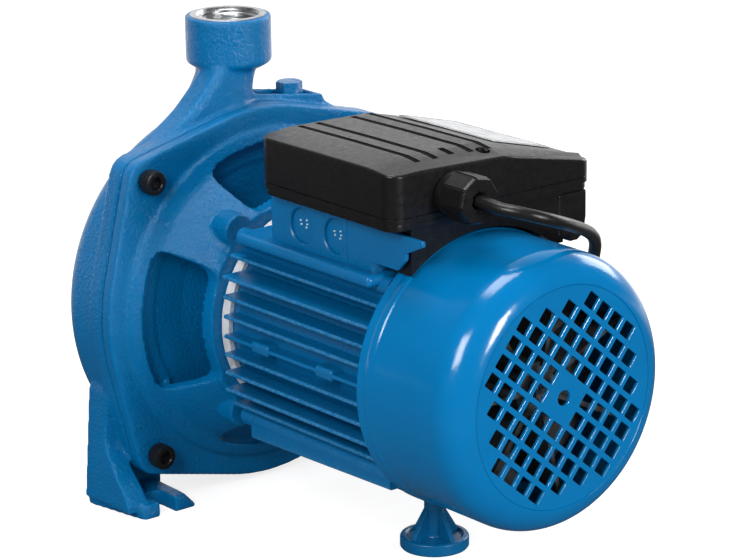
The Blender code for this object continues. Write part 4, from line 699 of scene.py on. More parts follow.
def smoothed(route, steps):
    """Points along a smooth curve through the route."""
    padded = [route[0], *route, route[-1]]
    points = []
    for index in range(1, len(padded) - 2):
        p0, p1, p2, p3 = (Vector(padded[index + shift]) for shift in (-1, 0, 1, 2))
        for step in range(steps):
            t = step / steps
            points.append(0.5 * (
                2 * p1 + (p2 - p0) * t + (2 * p0 - 5 * p1 + 4 * p2 - p3) * t * t
                + (3 * p1 - p0 - 3 * p2 + p3) * t ** 3))
    points.append(Vector(route[-1]))
    return points


def make_cable():
    turns = coil_points()
    points = smoothed([*CABLE_ROUTE, turns[0]], 5)[:-1] + [Vector(spot) for spot in turns + way_to_plug()]
    curve = bpy.data.curves.new("supply_cable_line", "CURVE")
    curve.dimensions = "3D"
    curve.bevel_depth = CABLE_RADIUS
    curve.bevel_resolution = 4
    curve.use_fill_caps = True
    spline = curve.splines.new("POLY")
    spline.points.add(len(points) - 1)
    for point, spot in zip(spline.points, points):
        point.co = (*spot, 1)
    spline.use_smooth = True
    item = link("supply_cable_line", curve)
    curve.materials.append(FINISHES["black_rubber"])
    item.location = OFFSET
    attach(item, "pump")
    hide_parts("supply_cable", "cable_coil")
    return item


def make_tie():
    """A strap around the four strands on the far side of the coil."""
    middle = (COIL_OUTER + COIL_INNER) / 2
    half = (COIL_OUTER - COIL_INNER) / 2 + CABLE_RADIUS
    height = COIL_LAY + COIL_STEP / 2
    inside = rounded(rectangle(half, half), CABLE_RADIUS)
    outer = half + 0.0005
    outside = rounded(rectangle(outer, outer), CABLE_RADIUS)
    shape = bmesh.new()
    rings = []
    for outline, reach in ((inside, 0.003), (inside, -0.003), (outside, -0.003), (outside, 0.003)):
        rings.append([
            shape.verts.new((COIL_X - middle + x, COIL_Y + reach, height + z)) for x, z in outline])
    for first, second in zip(rings, rings[1:] + rings[:1]):
        bridge(shape, first, second)
    return dress(mesh_item("coil_tie", shape), "black_rubber", smooth=30)


def make_plug():
    """A moulded two-pin plug with a ribbed neck."""
    x, y, z = PLUG_START
    profile = [(0, 0.0360), (0.0165, 0.0360)]
    profile += [(0.0165 + 0.0015 * sin(a), 0.0345 + 0.0015 * cos(a)) for a in (0.5, 1.1)]
    profile += [(0.0180, 0.0345), (0.0180, 0.0270)]
    profile += [(0.0178, 0.0255), (0.0165, 0.0238), (0.0140, 0.0225), (0.0125, 0.0210), (0.0118, 0.0185),
                (0.0114, 0.0150), (0.0108, 0.0120), (0.0095, 0.0100)]
    for rib in range(4):
        base = 0.0090 - 0.0022 * rib
        size = 0.0078 - 0.0007 * rib
        profile += [
            (size, base), (size, base - 0.0010), (size - 0.0012, base - 0.0013),
            (size - 0.0012, base - 0.0020)]
    profile += [(0.0045, 0.0000), (0, 0.0000)]
    body = turned("plug_body", profile, 64, (x, y, z), "-Y")
    dress(body, "black_rubber", replaced=("mains_plug",), smooth=35)
    made = [body]
    for side in (-1, 1):
        pin = turned(f"plug_pin_{'left' if side < 0 else 'right'}", [
            (0, 0.0545), (0.0016, 0.0545), (0.0024, 0.0534), (0.0024, 0.0355), (0, 0.0355)],
            24, (x + side * 0.0095, y, z), "-Y")
        made.append(dress(pin, "bright_steel", smooth=35))
    return made


cable = make_cable()
make_tie()
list(make_plug())


# Front casing

FLANGE_RADIUS = 0.1032
CASING_RADIUS = 0.1015
CASING_EDGE = 0.016
CASING_FRONT = 0.0215
SEAM = 0.020
CHAMBER_RADIUS = 0.084
REGISTER_STEP = 0.004
CASTING_ROOT = 0.089
SUCTION_REACH = 0.051
SCREW_OFFSET = 0.0758
LUG_RADIUS = 0.0115
BORE_RADIUS = 0.0168
BOSS_RADIUS = 0.0232
DISCHARGE_HEIGHT = 0.150
PRIMING_X = -0.037
PRIMING_Y = 0.0045
SEAT_HEIGHT = CASING_RADIUS - 0.0023


def flange_outline(radius, lug=LUG_RADIUS):
    """The round flange with its four screw lugs, joined by straight tangents."""
    points = arc((0, 0), radius, 0, 2 * pi, ROUND)
    for x, z in corner_places(SCREW_OFFSET, SCREW_OFFSET):
        points += arc((x, z), lug, 0, 2 * pi, 32)
    return hull(points)


def casing_body():
    edge = arc((CASING_RADIUS - CASING_EDGE, -(CASING_FRONT - CASING_EDGE)), CASING_EDGE, 0, -pi / 2, 12)
    return turned("cast_casing", [
        (0, SEAM - 0.0055),
        (CASING_RADIUS, SEAM - 0.0055),
        *edge,
        (0.0650, -0.0215),
        (0.0580, -0.0220),
        (0.0500, -0.0240),
        (0.0440, -0.0262),
        (0.0330, -0.0277),
        (0.0275, -0.0287),
        (0.0245, -0.0302),
        (BOSS_RADIUS, -0.0325),
        (BOSS_RADIUS, -SUCTION_REACH + 0.0003),
        (0, -SUCTION_REACH + 0.0003),
    ])


def neck():
    """The leaning neck that flares into the casing's rim and swells into the port's boss."""
    line = (
        (0.0280, 0.0000, 0.0166), (0.0225, 0.0003, 0.0164), (0.0212, 0.0010, 0.0164),
        (0.0200, 0.0015, 0.0166), (0.0165, 0.0027, 0.0164), (0.0135, 0.0040, 0.0166),
        (0.0105, 0.0052, 0.0170), (0.0080, 0.0060, 0.0175), (0.0055, 0.0068, 0.0181),
        (0.0028, 0.0075, 0.0187), (0.0000, 0.0080, 0.0194))
    rings = []
    for rise, middle, radius in reversed(line):
        outline = arc((middle, 0), radius, 0, 2 * pi, 72)[:-1]
        rings.append([(x, y, CASING_RADIUS + rise) for x, y in outline])
    root = [(x, y, CASTING_ROOT) for x, y, _ in rings[0]]
    return loft("neck", [root, *rings])


def fairing():
    """The slope from the neck to the upper right lug, over the volute's outlet."""
    diagonal = CASTING_ROOT / sqrt(2)
    line = (
        (0.0190, 0.0245), (0.0222, 0.0200), (0.0256, 0.0160), (0.0290, 0.0122), (0.0324, 0.0088),
        (0.0354, 0.0058), (0.0384, 0.0030), (0.0440, -0.0012), (0.0500, -0.0052))
    outline = [
        (0, CASING_RADIUS + 0.0240), (0, CASTING_ROOT), (diagonal, diagonal),
        (SCREW_OFFSET + LUG_RADIUS / 2, SCREW_OFFSET), (SCREW_OFFSET, SCREW_OFFSET + LUG_RADIUS / 2),
        *[(x, CASING_RADIUS + rise) for x, rise in reversed(line)],
    ]
    return soften(upright("fairing", outline, -0.001, SEAM - OVERSHOOT), 0.0045, 4)


def pad():
    outline = [
        (0, CASING_RADIUS + 0.0055), (-0.004, CASING_RADIUS + 0.0055), (-0.053, CASING_RADIUS - 0.0020),
        (-0.055, CASING_RADIUS - 0.0060), (-SCREW_OFFSET, SCREW_OFFSET + LUG_RADIUS / 2),
        (-SCREW_OFFSET, SCREW_OFFSET), (0, CASTING_ROOT),
    ]
    return upright("pad", outline, -0.0045, 0.0135)


def pad_hollow():
    """The sunken floor inside the pad's rim, with the plug's round seat left standing."""
    slope = 0.0075 / 0.049
    top = [(-0.006, CASING_RADIUS + 0.0055 - slope * 0.002), (-0.051, CASING_RADIUS - 0.0020 + slope * 0.002)]
    outline = [
        (top[0][0], top[0][1] - 0.0045), (top[0][0], top[0][1] + 0.018),
        (top[1][0], top[1][1] + 0.018), (top[1][0], top[1][1] - 0.0045),
    ]
    hollow = upright("hollow", outline, -0.0025, 0.0115)
    return cut(hollow, rod("seat", 0.0068, CASTING_ROOT, SEAT_HEIGHT, 48, (PRIMING_X, PRIMING_Y, 0), "+Z"))


FOOT_INNER = SCREW_OFFSET + LUG_RADIUS + 2 * SEAT_GAP
FOOT_OUTER = FOOT_INNER + 0.0086 + 0.0054
FOOT_PLATE = 0.008
FOOT_FRONT = -0.005
FOOT_REAR = 0.041


def foot(side):
    """A cast foot: its flat base, the wall across its front and the gusset on its outer side."""
    inner = FOOT_OUTER - 0.046
    rings = []
    for height, slope, lean in ((0, 0, 0), (FOOT_PLATE, 0.0075, 0.0006)):
        corners = [
            (side * (inner + slope), FOOT_FRONT), (side * (FOOT_OUTER - lean), FOOT_FRONT),
            (side * (FOOT_OUTER - 0.008 - lean), FOOT_REAR - lean),
            (side * (inner + slope + OVERSHOOT), FOOT_REAR - lean),
        ]
        rings.append([(x, y, FLOOR + height) for x, y in rounded(corners, 0.005)])
    base = soften(loft(f"base_{side}", rings), 0.0020, 3, 50)
    low = FLOOR + FOOT_PLATE / 2
    outer = FOOT_INNER + 0.0086
    top = -0.037

    def leg(near, near_top, rise):
        return [
            (side * near, low), (side * (outer + 0.0048), low), (side * outer, top - 0.005),
            (side * (outer - 0.0025), top), (side * near_top, top + rise)]

    wall = upright(f"wall_{side}", leg(inner + 0.0012, SCREW_OFFSET, 0) + [
        (side * (inner + 0.0048), -SCREW_OFFSET), (side * (inner + 0.0024), FLOOR + 0.016)],
        FOOT_FRONT + 0.0005, FOOT_FRONT + 0.010)
    web = upright(f"web_{side}", leg(FOOT_INNER, FOOT_INNER, 0.0025), FOOT_FRONT + 0.0004, FOOT_REAR)
    profile = [
        (FOOT_FRONT, low - OVERSHOOT), (FOOT_REAR - 0.005, low - OVERSHOOT),
        (FOOT_REAR - 0.005, FLOOR + FOOT_PLATE),
        (0.0290, FLOOR + 0.0168), (0.0245, FLOOR + 0.0205), (0.0180, FLOOR + 0.0290), (0.0140, FLOOR + 0.0335),
        (0.0125, FLOOR + 0.0375), (0.0125, 0), (FOOT_FRONT, 0)]
    limit = loft(f"limit_{side}", [[(x, y, z) for y, z in profile] for x in (-0.14, 0.14)])
    combine(web, [limit], "INTERSECT")
    return [base, wall, web]


def foot_slot(side):
    centre = side * (FOOT_OUTER - 0.0238)
    outline = [(centre + 0.005, FOOT_REAR + OVERSHOOT), *arc((centre, 0.028), 0.005, 0, -pi, 16),
               (centre - 0.005, FOOT_REAR + OVERSHOOT)]
    return flat(f"slot_{side}", outline, FLOOR - OVERSHOOT, FLOOR + FOOT_PLATE + OVERSHOOT)


def casing():
    body = casing_body()
    boss = [(radius, DISCHARGE_HEIGHT - down) for radius, down in (
        (0, 0.0003), (BOSS_RADIUS - 0.0008, 0.0003), (BOSS_RADIUS, 0.0012), (BOSS_RADIUS, 0.0245),
        (BOSS_RADIUS - 0.0006, 0.0258), (0.0185, 0.0285), (0.0150, 0.0285), (0, 0.0285))]
    add(body, upright("flange", flange_outline(FLANGE_RADIUS), SEAM - 0.011, SEAM), fairing(), neck(),
        turned("boss", boss, 96, axis="+Z"), pad())
    cut(body, pad_hollow())
    for side in (-1, 1):
        add(body, *foot(side))
    chamber = turned("chamber", [
        (0, SEAM + OVERSHOOT), (CHAMBER_RADIUS + REGISTER_STEP, SEAM + OVERSHOOT),
        (CHAMBER_RADIUS + REGISTER_STEP, SEAM - 0.005), (CHAMBER_RADIUS, SEAM - 0.005),
        (CHAMBER_RADIUS, -0.0065), (CHAMBER_RADIUS - 0.0017, -0.0098), (CHAMBER_RADIUS - 0.005, -0.0115),
        (0.0125, -0.0115), (0.0125, -0.033), (BORE_RADIUS, -0.0345),
        (BORE_RADIUS, -SUCTION_REACH - OVERSHOOT), (0, -SUCTION_REACH - OVERSHOOT)])
    bore = turned("bore", [
        (0, DISCHARGE_HEIGHT + OVERSHOOT), (BORE_RADIUS, DISCHARGE_HEIGHT + OVERSHOOT),
        (BORE_RADIUS, DISCHARGE_HEIGHT - 0.0165), (0.0125, DISCHARGE_HEIGHT - 0.018),
        (0, DISCHARGE_HEIGHT - 0.018)], 72, axis="+Z")
    passage = rod("passage", 0.0105, 0.136, 0.079, 48, (0.0015, 0, 0), "+Z")
    cut(body, chamber, bore, passage, foot_slot(-1), foot_slot(1))
    cast(body, passes=4)
    dress(body, "blue_cast_iron", replaced=("volute_casing",))


casing()


# Threads and bare rims of the two ports

def port_thread(name, centre, axis, face):
    """A bare machined rim with a helical pipe thread below it; face is the port's height on its axis."""
    pitch = 0.002309
    steps = 96
    rows = 66
    depth = 0.0165
    shape = bmesh.new()
    rings = []
    for radius, height in ((0.0205, -0.0002), (0.0203, 0.0), (0.0172, 0.0)):
        rings.append([(radius, height)] * steps)
    for row in range(rows + 1):
        down = -0.0010 - depth * row / rows
        ring = []
        for step in range(steps):
            phase = (down / pitch + step / steps) % 1
            tooth = abs(2 * phase - 1)
            fade = min(1, row / 6, (rows - row) / 4)
            ring.append((0.0166 - 0.0014 * fade * tooth - 0.0002 * fade, down))
        rings.append(ring)
    made = []
    for ring in rings:
        spots = []
        for step, (radius, height) in enumerate(ring):
            angle = 2 * pi * step / steps
            place = on_axis(axis, centre, radius * cos(angle), radius * sin(angle), face + height)
            spots.append(shape.verts.new(place))
        made.append(spots)
    for first, second in zip(made, made[1:]):
        bridge(shape, first, second)
    dress(mesh_item(name, shape), "bright_steel", smooth=50)


port_thread("discharge_thread", (0, 0, 0), "+Z", DISCHARGE_HEIGHT)
port_thread("suction_thread", (0, 0, 0), "-Y", SUCTION_REACH)


# Motor bracket

HUB_RADIUS = 0.0647
HUB_END = 0.0635
FLANGE_REAR = SEAM + SEAT_GAP + 0.008
SHOULDER_RADIUS = 0.0824
SHOULDER = 0.0346
STEP_RADIUS = 0.0922
SHAFT_WAY = 0.0093
CONE_END = 0.0603
BELL_WALL = 0.006


def sector(inner, outer, middle, half_angle, corner):
    """A window between two radii, with its corners rounded."""

    def bend(radius, shift, side):
        points = []
        for part in range(7):
            turn_by = pi / 2 * part / 6
            angle = middle + side * (half_angle - corner / radius * (1 - cos(turn_by)))
            size = radius + shift * (1 - sin(turn_by))
            points.append((size * cos(angle), size * sin(angle)))
        return points

    outline = []
    for radius, shift, way in ((outer, -corner, 1), (inner, corner, -1)):
        reach = half_angle - corner / radius
        outline += bend(radius, shift, -way)
        outline += arc((0, 0), radius, middle - way * reach, middle + way * reach, 24)[1:-1]
        outline += bend(radius, shift, way)[::-1]
    return outline


def bracket():
    run = SHOULDER_RADIUS - HUB_RADIUS
    rise = CONE_END - SHOULDER
    slant = hypot(run, rise)
    inward = BELL_WALL * rise / slant
    forward = BELL_WALL * run / slant
    hole = SHAFT_WAY
    spigot = CHAMBER_RADIUS + REGISTER_STEP - SEAT_GAP
    body = turned("cast_bracket", [
        (HUB_RADIUS - 0.0012, HUB_END), (HUB_RADIUS, HUB_END - 0.0012), (HUB_RADIUS, CONE_END),
        (SHOULDER_RADIUS, SHOULDER), (SHOULDER_RADIUS + 0.0020, 0.0331), (STEP_RADIUS - 0.0045, 0.0318),
        (STEP_RADIUS - 0.0012, 0.0305), (STEP_RADIUS, FLANGE_REAR), (STEP_RADIUS, FLANGE_REAR - 0.004),
        (spigot, FLANGE_REAR - 0.004), (spigot, 0.0175), (0.018, 0.0175), (0.018, 0.036), (hole, 0.036),
        (hole, 0.043), (0.024, 0.043), (0.024, 0.036), (0.032, 0.032),
        (SHOULDER_RADIUS - inward - 0.022, 0.0265), (SHOULDER_RADIUS - inward - 0.004, 0.0265),
        (SHOULDER_RADIUS - inward, SHOULDER - forward), (HUB_RADIUS - inward, CONE_END - forward),
        (hole, CONE_END - forward), (hole, HUB_END)], closed=True)
    front = SEAM + SEAT_GAP
    flange = soften(upright("bracket_flange", flange_outline(FLANGE_RADIUS), front, FLANGE_REAR), 0.0010, 2)
    cut(flange, rod("flange_hole", 0.085, 0, 0.05))
    add(body, flange)
    windows = []
    for index in range(4):
        outline = sector(0.0625, 0.0845, index * pi / 2, radians(28), 0.006)
        windows.append(upright(f"window_{index}", outline, 0.0275, HUB_END + OVERSHOOT))
    cut(body, *windows)
    add(body, *[
        rod(f"lug_{index}", 0.009, 0.050, HUB_END - 0.0003, 48, (x, 0, z))
        for index, (x, z) in enumerate(corner_places(0.0425, 0.0495))])
    cast(body, passes=4)
    dress(body, "blue_cast_iron", replaced=("motor_bracket",))


bracket()


# Screws and plugs

def socket_screw(name, x, z):
    """A black socket-head screw with a knurled head and a hexagon recess."""
    seat = FLANGE_REAR + SEAT_GAP

    def knurl(angle, index):
        return 0.00012 * (1 if sin(36 * angle) > 0 else -1) if index in (3, 4) else 0

    head = turned(name, [
        (0, 0.0080), (0.0056, 0.0080), (0.0063, 0.0076), (0.0065, 0.0070), (0.0065, 0.0012),
        (0.0063, 0.0003), (0.0062, 0), (0.0040, 0), (0.0040, -0.0135), (0, -0.0135)],
        144, (x, seat, z), wave=knurl)
    recess = [(0, 0.0090), (0.00375, 0.0090), (0.00375, 0.0045), (0, 0.0035)]
    funnel = [(0, 0.0090), (0.0046, 0.0090), (0.0034, 0.0075), (0, 0.0075)]
    cut(head, turned("recess", recess, 6, (x, seat, z)), turned("funnel", funnel, 48, (x, seat, z)))
    dress(head, "black_oxide_steel", replaced=(f"casing_{name}",), smooth=30)


for row, level in (("upper", 1), ("lower", -1)):
    for column, side in (("left", -1), ("right", 1)):
        socket_screw(f"screw_{row}_{column}", side * SCREW_OFFSET, level * SCREW_OFFSET)


def hexagon_plug(name, centre, axis, turned_by, node):
    """A hexagon plug whose head is chamfered by turning, on its round collar."""
    head = turned(name, [
        (0, 0.0082), (0.0074, 0.0082), (0.0074, 0.0010), (0, 0.0010)], 6, centre, axis)
    if turned_by:
        back = Matrix.Translation([-part for part in centre])
        head.data.transform(Matrix.Translation(centre) @ Matrix.Rotation(turned_by, 4, "Z") @ back)
    chamfered = [
        (0, 0.0087), (0.0056, 0.0087), (0.0076, 0.0075), (0.0076, 0.0014), (0.0070, 0.0004), (0, 0.0004)]
    combine(head, [turned("limit", chamfered, 72, centre, axis)], "INTERSECT")
    collar = [(0, 0.0018), (0.0056, 0.0018), (0.0062, 0.0013), (0.0062, 0.0001), (0, 0.0001)]
    add(head, turned("collar", collar, 72, centre, axis))
    soften(head, 0.0003, 2, 25)
    dress(head, "blue_cast_iron", replaced=(node,), smooth=35)


hexagon_plug(
    "priming_hexagon", (PRIMING_X, PRIMING_Y, SEAT_HEIGHT + SEAT_GAP), "+Z", radians(30), "priming_plug")
hexagon_plug("drain_hexagon", (0, -CASING_FRONT - SEAT_GAP, -0.0765), "-Y", 0, "drain_plug")


# Motor housing

FIN_FRONT = 0.0717
FIN_REAR = 0.1944
CORE_RADIUS = 0.0535
FIN_ENVELOPE = 0.0695
FIN_REACH = 0.061
FIN_HALF = 0.0012
# No two fins end in one plane, which keeps the Booleans sound
STAGGER = 0.00005
SIDE_FINS = (0.0405, 0.0300, 0.0193, 0.0085, -0.0022, -0.0121, -0.0221, -0.0314, -0.0404)
BAND_FACE = 0.0505
TIE_X = 0.0460
TIE_Z = 0.0490
BASE_FRONT = 0.100
BASE_REAR = 0.188
BASE_HALF = 0.050
LEDGE_HALF = 0.058
BASE_TOP = 0.0815
PANEL_FACE = BASE_HALF + 0.0007
SUPPORT_Y = 0.1685
KNOCKOUTS = (0.1262, 0.1535)
KNOCKOUT_HEIGHT = 0.0672
KNOCKOUT_RADIUS = 0.0092
KNOCKOUT_DEPTH = 0.0021


def fin_outline(half_root, half_tip, tip):
    """A fin from the axis out to its rounded tip, pointing along +X."""
    end = arc((tip - half_tip, 0), half_tip, -pi / 2, pi / 2, 6)[1:-1]
    return [(0, -half_root), (tip - half_tip, -half_tip), *end, (tip - half_tip, half_tip), (0, half_root)]


def housing():
    start = HUB_END + SEAT_GAP
    body = turned("finned_housing", [
        (0, start), (CORE_RADIUS - 0.0006, start), (CORE_RADIUS, start + 0.0006), (CORE_RADIUS, 0.1955),
        (CORE_RADIUS - 0.0005, 0.196), (0, 0.196)], 128)
    fins = []
    for row, height in enumerate(SIDE_FINS):
        tip = min(FIN_REACH, sqrt(FIN_ENVELOPE ** 2 - (abs(height) + FIN_HALF) ** 2))
        for side in (-1, 1):
            outline = [(side * x, height + z) for x, z in fin_outline(0.0015, 0.0011, tip)]
            shift = STAGGER * row
            fins.append(upright(f"fin_{row}_{side}", outline, FIN_FRONT + shift, FIN_REAR - shift))
    for column in range(9):
        x = (column - 4) * 0.00985
        tip = min(0.0665, sqrt(0.0735 ** 2 - (abs(x) + FIN_HALF) ** 2), 0.0565 + 0.3 * (BAND_FACE - abs(x)))
        outline = [(x + z, -reach) for reach, z in fin_outline(0.0015, 0.0011, tip)]
        shift = 0.0006 + STAGGER * column
        fins.append(upright(f"low_{column}", outline, FIN_FRONT + shift, FIN_REAR - shift))
    add(body, *fins)
    extras = []
    for index, (x, z) in enumerate(corner_places(TIE_X, TIE_Z)):
        extras.append(turned(f"tie_{index}", [
            (0, FIN_FRONT - 0.0013), (0.0044, FIN_FRONT - 0.0013), (0.005, FIN_FRONT - 0.0007),
            (0.005, FIN_REAR + 0.0004), (0, FIN_REAR + 0.0004)], 40, (x, 0, z)))
        ends = sorted((z, SIDE_FINS[0] if z > 0 else SIDE_FINS[-1]))
        extras.append(block(
            f"web_{index}", (x - 0.0012, FIN_FRONT + 0.0004, ends[0]),
            (x + 0.0012, FIN_REAR - 0.0004, ends[1])))
    for side in (-1, 1):
        rings = []
        for y, low in ((0.0795, -0.0590), (FIN_REAR - 0.0003, -0.0563)):
            corners = [
                (side * BAND_FACE, -0.0458), (side * BAND_FACE, low), (side * 0.0400, low),
                (side * 0.0400, -0.0458)]
            rings.append([(x, y, z) for x, z in rounded(corners, 0.0012, 4)])
        extras.append(loft(f"band_{side}", rings))
    middle = SIDE_FINS[4]
    for index, position in enumerate((0.102, 0.1548)):
        for side in (-1, 1):
            ends = sorted((side * 0.050, side * (FIN_REACH + 0.0004)))
            extras.append(block(
                f"pad_{index}_{side}", (ends[0], position - 0.00725, middle - 0.0032),
                (ends[1], position + 0.00725, middle + 0.0032), 0.0022, 4))
    add(body, *extras)
    half = 0.008
    arm = ((0.174, 0.0600), (0.2010, 0.0600), (0.2076, 0.0664), (0.2076, 0.0698), (0.2205, 0.0757),
           (0.2203, 0.0786), (0.174, 0.0786))
    add(body,
        block("base_neck", (-0.036, BASE_FRONT + 0.001, 0), (0.036, BASE_REAR - 0.001, 0.054)),
        block("ledge", (-LEDGE_HALF, 0.079, 0.0490), (LEDGE_HALF, BASE_REAR + 0.0003, 0.0553), 0.0026, 5),
        flat("base", rounded([
            (BASE_HALF, BASE_FRONT), (BASE_HALF, BASE_REAR - 0.004), (-BASE_HALF, BASE_REAR - 0.004),
            (-BASE_HALF, BASE_FRONT)], [0.0015, 0.0055, 0.0055, 0.0015], 8), 0.052, BASE_TOP),
        block("panel", (BASE_HALF - 0.004, BASE_FRONT + 0.0022, 0.0535), (PANEL_FACE, 0.1625, 0.0785),
              0.0007, 3),
        soften(loft("arm", [
            [(x, y, z) for y, z in arm] for x in (BASE_HALF - 0.0024, BASE_HALF - 0.0001)]), 0.0005),
        block("support_boss", (-half, SUPPORT_Y - half, -0.070), (half, SUPPORT_Y + half, 0), 0.001, 2))
    cut(body, rod("shaft_way", SHAFT_WAY, HUB_END - OVERSHOOT, 0.199, 48))
    for index, position in enumerate(KNOCKOUTS):
        face = PANEL_FACE
        sunk = turned(f"sunk_{index}", [
            (0, face + 0.003), (KNOCKOUT_RADIUS + 0.0006, face + 0.003), (KNOCKOUT_RADIUS + 0.0006, face),
            (KNOCKOUT_RADIUS, face - 0.0007), (KNOCKOUT_RADIUS, face - KNOCKOUT_DEPTH),
            (0, face - KNOCKOUT_DEPTH)], 72, (0, position, KNOCKOUT_HEIGHT), "+X")
        cut(body, sunk)
    dress(body, "blue_motor_paint", replaced=("motor_housing",), smooth=34)


housing()


def knockout_glint_bumps():
    """Small bumps on the two blanked cable entries, whose pale finish paints a glint on each."""
    pieces = []
    places = ((-0.0026, 0.0022), (-0.0022, 0.0002), (0.0022, 0.0030), (0.0027, 0.0010), (0.0020, -0.0008))
    for position in KNOCKOUTS:
        for across, up in places:
            pieces.append(turned("knockout_glint_bumps", [
                (0, 0.0006), (0.0004, 0.0005), (0.0006, 0), (0.0006, -0.0006), (0, -0.0006)], 16,
                (PANEL_FACE - KNOCKOUT_DEPTH, position + across, KNOCKOUT_HEIGHT + up), "+X"))
    # The pale finish paints a glint on each bump
    dress(join_loose(*pieces), "bright_steel", smooth=40, finish="speck_metal")


knockout_glint_bumps()


def register():
    """The bare machined register that shows between the fins, behind the bracket's hub; its near-white finish
    also paints in the reflection seen there.
    """
    ring = turned("bare_register", [
        (CORE_RADIUS + 0.0004, HUB_END + 0.0006), (CORE_RADIUS + 0.0030, HUB_END + 0.0006),
        (CORE_RADIUS + 0.0034, HUB_END + 0.0010), (CORE_RADIUS + 0.0034, FIN_FRONT - 0.0020),
        (CORE_RADIUS + 0.0030, FIN_FRONT - 0.0016), (CORE_RADIUS + 0.0004, FIN_FRONT - 0.0016)], closed=True)
    dress(ring, "bright_steel", smooth=34, finish="bare_register_metal")


register()


# Rear bearing shield

COVER_RADIUS = 0.0715
COVER_WALL = 0.0022


def shield():
    front = 0.1965
    body = turned("bearing_shield", [
        (0, front), (0.0594, front), (0.060, front + 0.0006), (0.060, front + 0.0104),
        (0.0594, front + 0.011), (0.0225, front + 0.011), (0.0220, front + 0.0115),
        (0.0220, front + 0.0162), (0.0212, front + 0.017), (0, front + 0.017)], 96)
    limit = rod("limit", COVER_RADIUS - COVER_WALL - SEAT_GAP, front - 0.002, front + 0.02, 128)
    ears = []
    for index in range(2):
        ear = block(f"ear_{index}", (-COVER_RADIUS, -0.005, -0.007), (COVER_RADIUS, 0.005, 0.007), 0.0012, 2)
        turn_by = Matrix.Rotation(radians(45 + 90 * index), 4, "Y")
        ear.data.transform(Matrix.Translation((0, front + 0.0055, 0)) @ turn_by)
        ears.append(ear)
    add(ears[0], ears[1])
    combine(ears[0], [limit], "INTERSECT")
    add(body, ears[0])
    cut(body, rod("way", SHAFT_WAY, 0.19, 0.22, 48))
    dress(body, "blue_motor_paint", replaced=("end_shield",), smooth=34)


shield()


# Fan cover

COVER_FRONT = 0.195
COVER_END = 0.268
COVER_RIM = 0.0723
COVER_EDGE = 0.018
DISC_RADIUS = 0.0565
DISC_STEP = 0.0006
GRILLE_PITCH = 0.01042
GRILLE_HOLE = 0.0076
GRILLE_ANGLE = radians(40)
GRILLE_FIRST = (3, 2, 1, 0, 0, 0, 0, 1, 2, 3)
COVER_STEPS = 192


def grille_disc():
    """The flat disc with its square holes, without the faces on its outer edge."""
    curve = bpy.data.curves.new("grille", "CURVE")
    curve.dimensions = "2D"
    curve.fill_mode = "BOTH"
    thickness = COVER_WALL - DISC_STEP
    curve.extrude = thickness / 2
    outlines = [
        arc((0, 0), DISC_RADIUS, 0, 2 * pi, COVER_STEPS)[:-1], arc((0, 0), 0.004, 0, 2 * pi, 32)[:-1]]
    middle = (len(GRILLE_FIRST) - 1) / 2
    for row, first in enumerate(GRILLE_FIRST):
        for column in range(first, len(GRILLE_FIRST) - first):
            if abs(row - middle) < 1 and abs(column - middle) < 1:
                continue
            across = (column - middle) * GRILLE_PITCH
            up = (row - middle) * GRILLE_PITCH
            corners = [(across + x, up + z) for x, z in rectangle(GRILLE_HOLE / 2, GRILLE_HOLE / 2)]
            outlines.append([
                (x * cos(GRILLE_ANGLE) - z * sin(GRILLE_ANGLE), x * sin(GRILLE_ANGLE) + z * cos(GRILLE_ANGLE))
                for x, z in rounded(corners, 0.0007, 3)])
    for outline in outlines:
        spline = curve.splines.new("POLY")
        spline.points.add(len(outline) - 1)
        for point, (x, y) in zip(spline.points, outline):
            point.co = (x, y, 0, 1)
        spline.use_cyclic_u = True
    item = link("grille", curve)
    bpy.context.view_layer.update()
    seen = item.evaluated_get(bpy.context.evaluated_depsgraph_get())
    mesh = bpy.data.meshes.new_from_object(seen)
    bpy.data.objects.remove(item)
    shape = bmesh.new()
    shape.from_mesh(mesh)
    bpy.data.meshes.remove(mesh)
    bmesh.ops.remove_doubles(shape, verts=shape.verts, dist=0.000002)
    shape.normal_update()
    near = DISC_RADIUS - 0.00005
    side = [
        face for face in shape.faces
        if abs(face.normal.z) < 0.5 and all(hypot(v.co.x, v.co.y) > near for v in face.verts)]
    bmesh.ops.delete(shape, geom=side, context="FACES_ONLY")
    edges = []
    for edge in shape.edges:
        on_top = all(v.co.z > 0 for v in edge.verts)
        inside = all(hypot(v.co.x, v.co.y) < near for v in edge.verts)
        if on_top and inside and len(edge.link_faces) == 2 and edge.calc_face_angle(0) > 1:
            edges.append(edge)
    bmesh.ops.bevel(shape, geom=edges, offset=0.0003, segments=2, affect="EDGES", profile=0.5)
    half = thickness / 2
    for vertex in shape.verts:
        x, y, z = vertex.co
        vertex.co = (x, COVER_END - DISC_STEP - half + z, y)
    return shape


